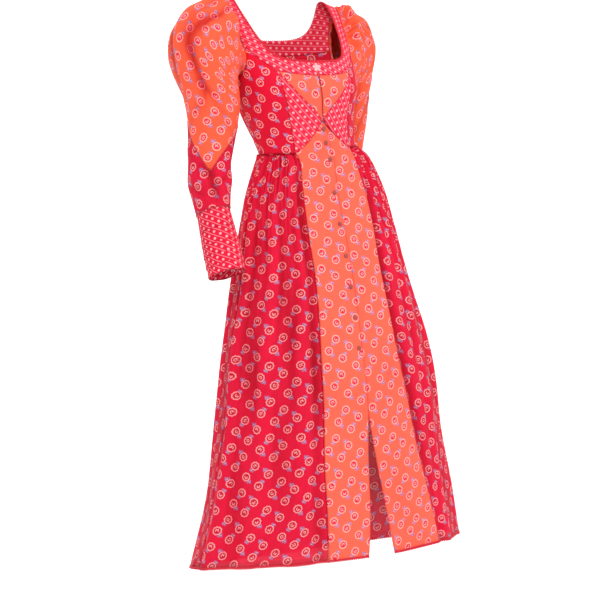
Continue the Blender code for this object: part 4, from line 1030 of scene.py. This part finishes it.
def gathers(share, height, count, seed):
    """Uneven gathers at a share of the way along a gathered edge, running out downwards."""
    warped = share + (0.30 * np.sin(2 * math.pi * (share * 3.1 + seed))
                      + 0.22 * np.sin(2 * math.pi * (share * 7.3 + 1.7 * seed))) / count
    warped = warped + 0.004 * np.sin(60 * height + 9 * share)
    wave = np.sin(2 * math.pi * count * warped)
    wave = 1 - 1.9 * np.abs(0.5 - 0.5 * wave) ** 1.7
    strong = 0.72 + 0.28 * np.sin(2 * math.pi * (share * 2.3 + seed * 2.1))
    runs_to = GATHER_END - 0.10 * np.sin(2 * math.pi * (share * count * 0.5 + seed))
    fade = eased((height - runs_to) / (WAIST - runs_to)) ** 1.6
    return wave * strong * fade


def gathered_panel(name, first, last, count, seed, columns):
    """first and last give the panel's two seams, in degrees, on each row of SKIRT_ROWS."""
    over = np.linspace(0, 1, columns + 1)
    first, last = np.radians(first), np.radians(last)
    angle = first[:, None] + (last - first)[:, None] * over
    height = np.array([row[1] or 0.0 for row in SKIRT_ROWS])[:, None] + 0 * over
    height[-1] = hem_height(angle[-1])
    angle, height = refined(angle, SKIRT_ROWS_FINE), refined(height, SKIRT_ROWS_FINE)
    move = 0.0066 * gathers(over[None], height, count, seed)
    half = 0.5 * np.sin(math.pi * np.clip(over / 0.06, 0, 0.5)) * np.sin(math.pi * np.clip((1 - over) / 0.06, 0, 0.5))
    move = move * (0.35 + 1.3 * half)[None]
    # The cloth turns in under itself beside the front seam.
    beside = np.exp(-((over - 0.055) / 0.042) ** 2)[None] * (1 if name != "skirt_back" else 0)
    run = eased((-0.345 - height) / 0.12) * (1 - 0.55 * eased((-0.75 - height) / 0.4))
    middle, normals, fold = skirt_sheet(angle, height, move - 0.0105 * beside * run)
    middle = dipped(middle, normals, "tlr", depth=0.0012)
    centre = round(float(np.degrees(angle[-1].mean())))
    cloth[name] = (middle, "voile", dict(held="gathered", sewn="tlr", free="b", fold=fold,
                                         grain=grain_on(angle, height, centre, 0.35)))
    return middle, normals


def front_panel(name, side):
    peak_angle, peak_height = peak.T
    seam = [math.radians(row[2] if side < 0 else row[3]) for row in SKIRT_ROWS]
    angles, heights = [], []
    for number, row in enumerate(SKIRT_ROWS):
        edge_x = row[4] if side < 0 else row[5]
        last_row = number == len(SKIRT_ROWS) - 1
        level = float(hem_height(0.0)) if last_row else row[0]
        edge = math.asin(edge_x / float(spline(FORM, form_row(level))[3]))
        if number == 0:
            angle, height = side * peak_angle, peak_height
        elif side < 0:
            angle = -peak_shares * seam[number]
        else:
            angle = edge + peak_shares * (seam[number] - edge)
        if 0 < number and not last_row:
            past_lap = np.clip((peak_shares - PEAK_LAP_SHARE) / (1 - PEAK_LAP_SHARE), 0, 1)
            height = row[0] + past_lap * (row[1] - row[0])
        elif last_row:
            height = hem_height(angle)
        if side < 0:
            lap = np.linspace(edge, 0, 5)[:-1] + (angle[0] if number == 0 else 0)
            lap_height = hem_height(lap) if last_row else np.full(4, float(height[0]))
            angle, height = np.concatenate([lap, angle]), np.concatenate([lap_height, height])
        angles.append(angle)
        heights.append(height)
    angle, height = refined(np.array(angles), SKIRT_ROWS_FINE), refined(np.array(heights), SKIRT_ROWS_FINE)
    move = np.zeros(angle.shape)
    if side > 0:
        x = spline(FORM, form_row(height))[..., 3] * np.sin(angle)
        move = -LAP_STEP_IN * np.clip((LAP_STEP_END - x) / (LAP_STEP_END - LAP_STEP_FULL), 0, 1)
    middle, normals, fold = skirt_sheet(angle, height, move)
    # Painted fold shade on the orange panels is weaker, and there is none within 8 degrees of the centre front.
    fold = 0.6 * fold * np.clip((np.abs(np.degrees(angle)) - 8) / 8, 0, 1)
    middle = dipped(middle, normals, "tr", depth=0.0012)
    cloth[name] = (middle, "orange", dict(held="hung", sewn="tr", free="bl", fold=fold, grain=grain_on(angle, height, 0)))
    thread_rows["skirt"].append(stitches(middle[:, 1], normals[:, 1]))
    return middle, normals


right_front, right_normals = front_panel("skirt_front_right", -1)
left_front, left_normals = front_panel("skirt_front_left", 1)
seam_right = np.array([-row[2] for row in SKIRT_ROWS])
seam_left = np.array([row[3] for row in SKIRT_ROWS])
side_line = np.full(len(SKIRT_ROWS), 90.0)
skirt_side_right = gathered_panel("skirt_side_right", seam_right, -side_line, 9, 0.13, 150)
skirt_back = gathered_panel("skirt_back", -side_line, -3 * side_line, 19, 0.37, 260)
skirt_side_left = gathered_panel("skirt_side_left", seam_left, side_line, 9, 0.71, 150)


# ---- sleeves and cuffs ----

def sleeve_points(rings, side, angle, place):
    """Points of a sleeve's tube at angles round and rings down."""
    out_x, out_z, in_x, in_z, middle_y, depth, lean = np.moveaxis(spline(rings, place), -1, 0)
    centre = np.stack([side * (out_x + in_x) / 2, middle_y, (out_z + in_z) / 2], -1)
    outward = np.stack([side * (out_x - in_x) / 2, 0 * depth, (out_z - in_z) / 2], -1)
    lean = np.radians(lean)
    forward = np.stack([0 * depth, -depth * np.cos(lean), depth * np.sin(lean)], -1)
    return centre + outward * np.cos(angle)[..., None] + forward * np.sin(angle)[..., None]


def sleeve_folds(angle, place, side):
    total = np.zeros(np.broadcast(angle, place).shape)
    turn = np.degrees(angle)
    middle, spread, depth, first, last = RIGHT_FULLNESS if side < 0 else LEFT_FULLNESS
    off = (turn - middle + 180) % 360 - 180
    total = total + depth * np.sin(math.pi * np.clip((place - first) / (last - first), 0, 1)) * np.exp(-(off / spread) ** 2)
    for middle, spread, depth, first, last in SLEEVE_FOLDS:
        off = (turn - middle + 6 * np.sin(1.3 * place + middle) + 180) % 360 - 180
        run = np.sin(math.pi * np.clip((place - first) / (last - first), 0, 1))
        total = total + depth * run * np.exp(-(off / spread) ** 2)
    for middle, spread, ring, width, depth, slant in SLEEVE_CREASES:
        off = (turn - middle + (14 if side > 0 else 0) + 180) % 360 - 180
        line = ring + slant * off / 30 + 0.08 * np.sin(off * 0.2)
        total = total + depth * np.exp(-(off / spread) ** 2 - ((place - line) / width) ** 2)
    return total


def tube_normals(points, side):
    across = np.roll(points, -1, axis=1) - np.roll(points, 1, axis=1)
    return side * unit(np.cross(across, np.gradient(points, axis=0)))


PRINT_LINE = 42
seam_threads = []


def sleeve_grain(rings, side, turn, start, place, head=(0, 0, 0, 0)):
    """Coordinates of a sleeve's cloth: round the arm from its seam, and down the arm."""
    levels = np.linspace(0, len(rings) - 1.0, 131)
    angles = np.radians(start + np.arange(362))
    points = sleeve_points(rings, side, angles[None] + 0 * levels[:, None], levels[:, None] + 0 * angles[None])
    around = lengths(points, 1)
    line = (int(PRINT_LINE - start) if side < 0 else int(90 - start)) % 360
    down = lengths(points[:, [line]], 0)[:, 0]
    place = np.concatenate([place, place[:, :1]], axis=1)
    turn = np.broadcast_to(np.append(turn, 360.0), place.shape)
    half = table_at(around, 10 * place, 0 * place + 180)
    across = table_at(around, 10 * place, turn) - half
    gathered = 1 + 0.08 * eased((3.0 - place) / 3.0)
    before = np.interp(place, (-3, -2, -1, 0), head)
    return -side * across * gathered, -(np.interp(place, levels, down) + before)


def add_sleeve(word, side, rings, cuff_run):
    columns = len(armhole)
    edge = form(side * armhole[:, 0], armhole[:, 1])
    out_z, in_z, middle_y, depth = rings[0][[1, 3, 4, 5]]
    angle = np.arctan2((middle_y - edge[:, 1]) / depth, (2 * edge[:, 2] - out_z - in_z) / (out_z - in_z))
    edge_normals = bodice_normal(side * armhole[:, 0], armhole[:, 1])
    run = unit(np.roll(edge, -1, axis=0) - np.roll(edge, 1, axis=0))
    into_hole = side * unit(np.cross(edge_normals, run))
    away = sleeve_points(rings, side, angle, np.zeros(columns)) - edge
    start = np.stack([edge + 0.0003 * into_hole, edge + 0.0030 * into_hole,
                      edge + 0.0055 * into_hole + 0.16 * away])
    off_point = np.abs((np.degrees(angle) - POINT_ANGLE + 180) % 360 - 180)
    seam = ELBOW_SEAM + POINT_DROP * np.clip(1 - off_point / POINT_SPREAD, 0, 1)
    level = np.arange(13.0)
    share = ramp((9, 10, 11, 12), (0, 0.35, 0.68, 1.0), level)
    places = np.where(level[:, None] <= 9, level[:, None] - 3, 6 + (seam[None] - 6) * share[:, None])
    coarse = np.concatenate([start, sleeve_points(rings, side, np.broadcast_to(angle, (10, columns)),
                                                  places[3:])])
    fine_level = np.linspace(0, 12, 100)
    smooth = refined(coarse, 100)
    place = np.stack([np.interp(fine_level, level, places[:, c]) for c in range(columns)], -1)
    last = len(rings) - 1.0
    lower_share = np.linspace(0, 1, 48)[:, None]
    lower_place = seam[None] + (last - seam[None]) * lower_share
    lower = sleeve_points(rings, side, np.broadcast_to(angle, lower_place.shape), lower_place)
    normals = tube_normals(np.concatenate([smooth, lower[1:]]), side)
    normals[0] = edge_normals
    last_ring = lower[-1] - lower[-1].mean(axis=0)
    normals[-1] = unit(last_ring)
    upper_normals, lower_normals = normals[:100], normals[99:]

    turn = np.arange(columns) / columns
    on_head = np.clip(np.cos(angle) * 1.5 + 0.45, 0, 1)
    grown = ramp((0, 1, 2, 3, 4, 8), (0, 0.35, 0.6, 0.85, 1.0, 0), fine_level)[:, None]
    warped = turn + (0.35 * np.sin(2 * math.pi * (turn * 5.1 + 0.3 * side))
                     + 0.25 * np.sin(2 * math.pi * (turn * 11.3 + 0.2))) / 34
    wave = np.sin(2 * math.pi * 34 * warped)
    broad = np.sin(2 * math.pi * 17 * warped + 0.6)
    mixed = wave[None] * (1 - 0.7 * grown ** 2 * ramp((0, 3, 8), (0, 0.3, 1), fine_level)[:, None]) + 0.5 * broad[None]
    strong = 0.75 + 0.25 * np.sin(2 * math.pi * (turn * 3.7 + 0.4 * side))
    move = 0.0046 * grown * mixed * on_head * strong + sleeve_folds(angle[None], place, side)
    # How deep each point lies in a trough, for the painted shade of the folds.
    upper_fold = np.clip(-move / 0.0050, 0, 1) ** 1.2
    upper = outside(smooth + move[..., None] * upper_normals, upper_normals)
    gathered = ramp((0, 0.10, 0.3), (1, 0.5, 0), lower_share) * np.sin(2 * math.pi * 22 * warped)[None] * 0.0008
    move = (sleeve_folds(angle[None], lower_place, side) + gathered) * ramp((0, 0.94, 1), (1, 1, 0), lower_share)
    # How deep each point lies in a trough, for the painted shade of the folds.
    lower_fold = np.clip(-move / 0.0050, 0, 1) ** 1.2
    lower = outside(lower + move[..., None] * lower_normals, lower_normals)
    lower[0] = upper[-1]
    # The seam lies on the inner side of the arm, at the back.
    back = int(np.argmin(np.abs((np.degrees(angle) - 215 + 180) % 360 - 180)))
    upper, upper_normals = np.roll(upper, -back, axis=1), np.roll(upper_normals, -back, axis=1)
    lower, lower_normals = np.roll(lower, -back, axis=1), np.roll(lower_normals, -back, axis=1)
    place, lower_place = np.roll(place, -back, axis=1), np.roll(lower_place, -back, axis=1)
    upper_fold, lower_fold = np.roll(upper_fold, -back, axis=1), np.roll(lower_fold, -back, axis=1)
    round_turn = (np.degrees(np.roll(angle, -back)) - math.degrees(angle[back])) % 360
    seam_threads.append(tube(upper[-1] + 0.0004 * upper_normals[-1], 0.00095, closed=True))
    seam_threads.append(tube(lower[-1] + 0.0005 * lower_normals[-1], 0.00105, closed=True))
    upper = dipped(upper, upper_normals, "t", depth=0.0006)
    lower = dipped(lower, lower_normals, "t", depth=0.0006)
    start_turn = math.degrees(angle[back])
    line = int(np.argmin(np.abs(np.degrees(angle) - (PRINT_LINE if side < 0 else 90))))
    head = lengths(coarse[:4, line], 0)
    head = head - head[-1]
    cloth["sleeve_upper_" + word] = (upper, "sleeve", dict(held="gathered", closed=True, sewn="tb", fold=upper_fold,
                                     grain=sleeve_grain(rings, side, round_turn, start_turn, place, head)))
    cloth["sleeve_lower_" + word] = (lower, "voile", dict(closed=True, sewn="tb", fold=lower_fold,
                                     grain=sleeve_grain(rings, side, round_turn, start_turn, lower_place)))

    count = 96
    turn = 2 * math.pi * np.arange(count) / count
    ring = sleeve_points(rings, side, turn, np.full(count, last))
    centre = ring.mean(axis=0)
    spoke = ring - centre
    outward = unit(spoke)
    down = unit(np.array([side * cuff_run[0], cuff_run[1], cuff_run[2]]))
    profile, run = [], 0.0
    for number, length in enumerate(TUCK_LENGTHS):
        wide = CUFF_WIDENS * number
        end = run + length - TUCK_STEP
        for part in np.linspace(0, 1, 7):
            profile.append((run + (end - run) * part, wide + TUCK_DEPTH * 1.35 * part ** 1.6, number))
        profile.append((end + 0.0004, wide + TUCK_DEPTH * 0.7, number))
        if number < 4:
            profile.append((end + 0.0002, wide + 0.0001, number))
            profile.append((end + TUCK_STEP * 0.6, wide + CUFF_WIDENS - 0.0002, number))
        run = end + TUCK_STEP
    grid = []
    for along_run, wide, number in profile:
        wobble = 0.0006 * np.sin(3 * turn + 1.7 * number) + 0.0004 * np.sin(7 * turn + 2.3 * number)
        slack = 0.0012 * np.sin(2 * turn + 0.9 * number + 9 * along_run)
        grid.append(centre + spoke + (along_run + wobble)[:, None] * down + (wide + slack)[:, None] * outward)
    cuff = outside(np.array(grid), np.broadcast_to(outward, (len(grid), count, 3)))
    back = int(np.argmin(np.abs((np.degrees(turn) - 215 + 180) % 360 - 180)))
    cloth["cuff_" + word] = (np.roll(cuff, -back, axis=1), "cuff", dict(closed=True, sewn="t", free="b", turn=-0.6 * side))


add_sleeve("right", -1, RIGHT_SLEEVE, RIGHT_CUFF_RUN)
add_sleeve("left", 1, LEFT_SLEEVE, LEFT_CUFF_RUN)
SLOTS = {"dots": "dot_print", "cuff": "dot_print", "orange": "orange_rose_print", "sleeve": "orange_rose_print",
         "red": "red_rose_print", "voile": "red_rose_print"}


# ---- edgings, seam threads and stitches ----

def arch_model():
    """One small loop of the picot edging: half a ring of thread, standing up along y."""
    turn = np.linspace(0, math.pi, 8)
    return tube(np.stack([0.0014 * np.cos(turn), 0.0017 * np.sin(turn) - 0.0003, 0 * turn], -1), 0.00095, 5)


def edging(line, inside, normals, lift):
    """Picot loops along an edge, past it, on a narrow braid laid on the cloth."""
    away = unit(line - inside)
    line = line + lift * normals
    places, away, out = steps_along(line, [away, normals], 0.0046, 0.0015)
    run = unit(np.gradient(places, axis=0))
    out = unit(out - (out * run).sum(-1, keepdims=True) * run)
    away = np.cross(out, run) * np.sign((np.cross(out, run) * away).sum(-1, keepdims=True))
    loops = copies(arch_model(), places + 0.0002 * away, run, away, out)
    braids = [tube(places - (0.0006 + 0.0011 * row) * away, 0.0007, 5) for row in range(3)]
    return [loops] + braids


parts = []
for word in ("right", "left", "back"):
    middle, normals = neck_edges[word]
    parts += edging(middle[0], middle[2], normals[0], 0.0007)
neck_trim = add_small("neck_edging", parts, M["edging"], ["neck_trim"])
parts = []
hems = {"right": (right_front, right_normals), "side_right": skirt_side_right, "back": skirt_back,
        "side_left": skirt_side_left, "left": (left_front, left_normals)}
for middle, normals in hems.values():
    parts += edging(middle[-1], middle[-4], normals[-1], 0.0007)
hem_trim = add_small("hem_edging", parts, M["edging"], ["hem_trim"])
piping = add_small("sleeve_piping", seam_threads, M["thread"])
bodice_stitches = add_small("bodice_stitches", thread_rows["bodice"], M["thread"])
skirt_stitches = add_small("skirt_stitches", thread_rows["skirt"], M["thread"])
GOES_WITH = {"neck_band_back": [neck_trim], "skirt_back": [hem_trim], "sleeve_upper_right": [piping],
             "side_front_right": [bodice_stitches], "skirt_front_right": [skirt_stitches]}
for name, (middle, finish, settings) in cloth.items():
    add_cloth(name + "_cloth", middle, M[finish], SLOTS[finish], replaces=(name,),
              with_pieces=GOES_WITH.get(name, ()), **settings)


# ---- fastenings ----

def frame_on(column, normals, height):
    """Point, outward direction and upward direction on a column of points, at a height."""
    share = np.interp(-height, -column[:, 2], np.arange(len(column)))
    row = min(int(share), len(column) - 2)
    point = column[row] + (share - row) * (column[row + 1] - column[row])
    up = unit(column[row] - column[row + 1])
    out = unit(normals[row])
    return point, unit(out - np.dot(out, up) * up), up


def turned_solid(profile, sides):
    """Round solid from a profile of (height, radius), shut at both ends."""
    turn = 2 * math.pi * np.arange(sides) / sides
    points = np.concatenate([np.stack([r * np.cos(turn), r * np.sin(turn), 0 * turn + h], -1)
                             for h, r in profile])
    faces = []
    for row in range(len(profile) - 1):
        for column in range(sides):
            beside = (column + 1) % sides
            faces.append((row * sides + column, row * sides + beside,
                          (row + 1) * sides + beside, (row + 1) * sides + column))
    faces.append(tuple(reversed(range(sides))))
    faces.append(tuple((len(profile) - 1) * sides + c for c in range(sides)))
    return points, faces


BUTTON = turned_solid([(-0.0004, 0.0046), (0.0006, 0.0055), (0.0013, 0.0055), (0.0019, 0.0049),
                       (0.0018, 0.0043), (0.0024, 0.0040), (0.0031, 0.0031), (0.0035, 0.0019),
                       (0.0036, 0.0006)], 28)
column, column_normals = right_front[:, 4], right_normals[:, 4]
for number, height in enumerate(BUTTON_HEIGHTS, 1):
    point, out, up = frame_on(column, column_normals, height)
    place = [np.array([way]) for way in (point + 0.0004 * out, unit(np.cross(up, out)), up, out)]
    add_small("covered_button_%d" % number, [copies(BUTTON, *place)], M["button"],
              ["button_%d" % number])

middle, normals = neck_edges["right"]
point, out, up = frame_on(middle[:, 0], normals[:, 0], FLOWER_HEIGHT)
across = unit(np.cross(up, out))
petal = model_of(bpy.ops.mesh.primitive_uv_sphere_add, (0.0041, 0.0036, 0.0013), segments=20, ring_count=10, radius=1)
parts = []
for number in range(5):
    turn = 2 * math.pi * (number + 0.25) / 5
    way = math.cos(turn) * across + math.sin(turn) * up
    place = [np.array([v]) for v in (point + 0.0062 * way + 0.0016 * out, way, np.cross(out, way), out)]
    parts.append(copies(petal, *place))
middle_boss = turned_solid([(-0.0005, 0.0050), (0.0024, 0.0050), (0.0028, 0.0040), (0.0025, 0.0030), (0.0031, 0.0022),
                            (0.0034, 0.0010)], 24)
parts.append(copies(middle_boss, *[np.array([v]) for v in (point + 0.0004 * out, across, up, out)]))
add_small("flower_shaped_button", parts, M["resin"], ["flower_button"])

# Hooks down the closing of the inset, each a short bar of wire with its eye.
inset_line = form(np.zeros(40), np.linspace(-0.174, -0.262, 40))
inset_normals = bodice_normal(np.zeros(40), np.linspace(-0.174, -0.262, 40))
places, outs = steps_along(outside(inset_line, inset_normals) + 0.0005 * inset_normals, [inset_normals], 0.0062)
ups = unit(-np.gradient(places, axis=0))
turn = np.linspace(0, 1.6 * math.pi, 9)
wire = tube(np.stack([0.0012 * np.cos(turn), 0.0021 * np.sin(turn), 0.0002 * turn], -1), 0.00055, 5)
hooks = add_small("hooks_and_eyes", [copies(wire, places, unit(np.cross(ups, outs)), ups, outs)], M["hook"])


# ---- floor, light and camera ----

def bowl():
    """Pale floor that turns up into a backdrop all round."""
    bpy.ops.object.select_all(action="DESELECT")
    bpy.ops.mesh.primitive_grid_add(x_subdivisions=96, y_subdivisions=40, size=1)
    item = bpy.context.object
    item.name = "floor"
    turn = np.linspace(0, 2 * math.pi, 97)
    part = np.linspace(0, 1, 41)
    radius = np.interp(part, (0, 0.5, 0.8, 1.0), (0.0, 7.0, 9.5, 10.0))
    height = FLOOR + np.interp(part, (0, 0.5, 0.62, 0.8, 1.0), (0, 0, 0.25, 2.0, 7.0))
    points = np.stack([radius[:, None] * np.cos(turn), radius[:, None] * np.sin(turn),
                       height[:, None] + 0 * turn], -1)
    item.data.vertices.foreach_set("co", points.reshape(-1).astype(np.float32))
    item.data.update()
    apply_modifier(item, "SUBSURF", levels=1, render_levels=1)
    item.data.shade_smooth()
    material, shader, g = new_material("pale_floor")
    place = g.put("ShaderNodeTexCoord").outputs["Object"]
    spots = g.put("ShaderNodeTexNoise", {"Vector": place, "Scale": 3.0, "Detail": 3.0}).outputs["Fac"]
    g.tree.links.new(g.blend(spots, (0.90, 0.897, 0.893), (0.925, 0.922, 0.918)), shader.inputs["Base Color"])
    shader.inputs["Roughness"].default_value = 0.9
    item.data.materials.append(material)


def add_light(name, place, size, power, colour=(1, 1, 1), aim=(0.0485, -0.05, -0.6)):
    light = bpy.data.lights.new(name, "AREA")
    light.shape = "DISK"
    light.size = size
    light.energy = power
    light.color = colour
    item = bpy.data.objects.new(name, light)
    item.location = place
    item.rotation_euler = (Vector(aim) - Vector(place)).to_track_quat("-Z", "Y").to_euler()
    bpy.context.scene.collection.objects.link(item)


FLOOR = -1.56
bowl()
add_light("key", (-2.2, -3.2, 1.9), 1.6, 95)
add_light("fill", (3.0, -2.6, 0.4), 2.6, 36)
add_light("back", (0.6, 3.4, 2.0), 2.2, 40)
add_light("top", (0.0, -0.4, 3.6), 2.6, 40)
add_light("backdrop", (2.2, 3.6, 5.2), 3.0, 420, aim=(5.6, 9.4, -0.2))
bpy.context.scene.view_settings.view_transform = "Standard"
world = bpy.data.worlds.new("studio")
bpy.context.scene.world = world
world.use_nodes = True
world.node_tree.nodes["Background"].inputs["Color"].default_value = (0.98, 0.985, 1.0, 1.0)
world.node_tree.nodes["Background"].inputs["Strength"].default_value = 0.74

camera = bpy.data.cameras.new("camera")
camera.lens = 108.9
camera.sensor_width = 36.0
camera.clip_end = 60.0
viewer = bpy.data.objects.new("camera", camera)
aim = Vector((0.0485, -0.028, -0.66))
viewer.location = (-1.9515, -3.4921, -0.291)
viewer.rotation_euler = (aim - viewer.location).to_track_quat("-Z", "Y").to_euler()
bpy.context.scene.collection.objects.link(viewer)
bpy.context.scene.camera = viewer
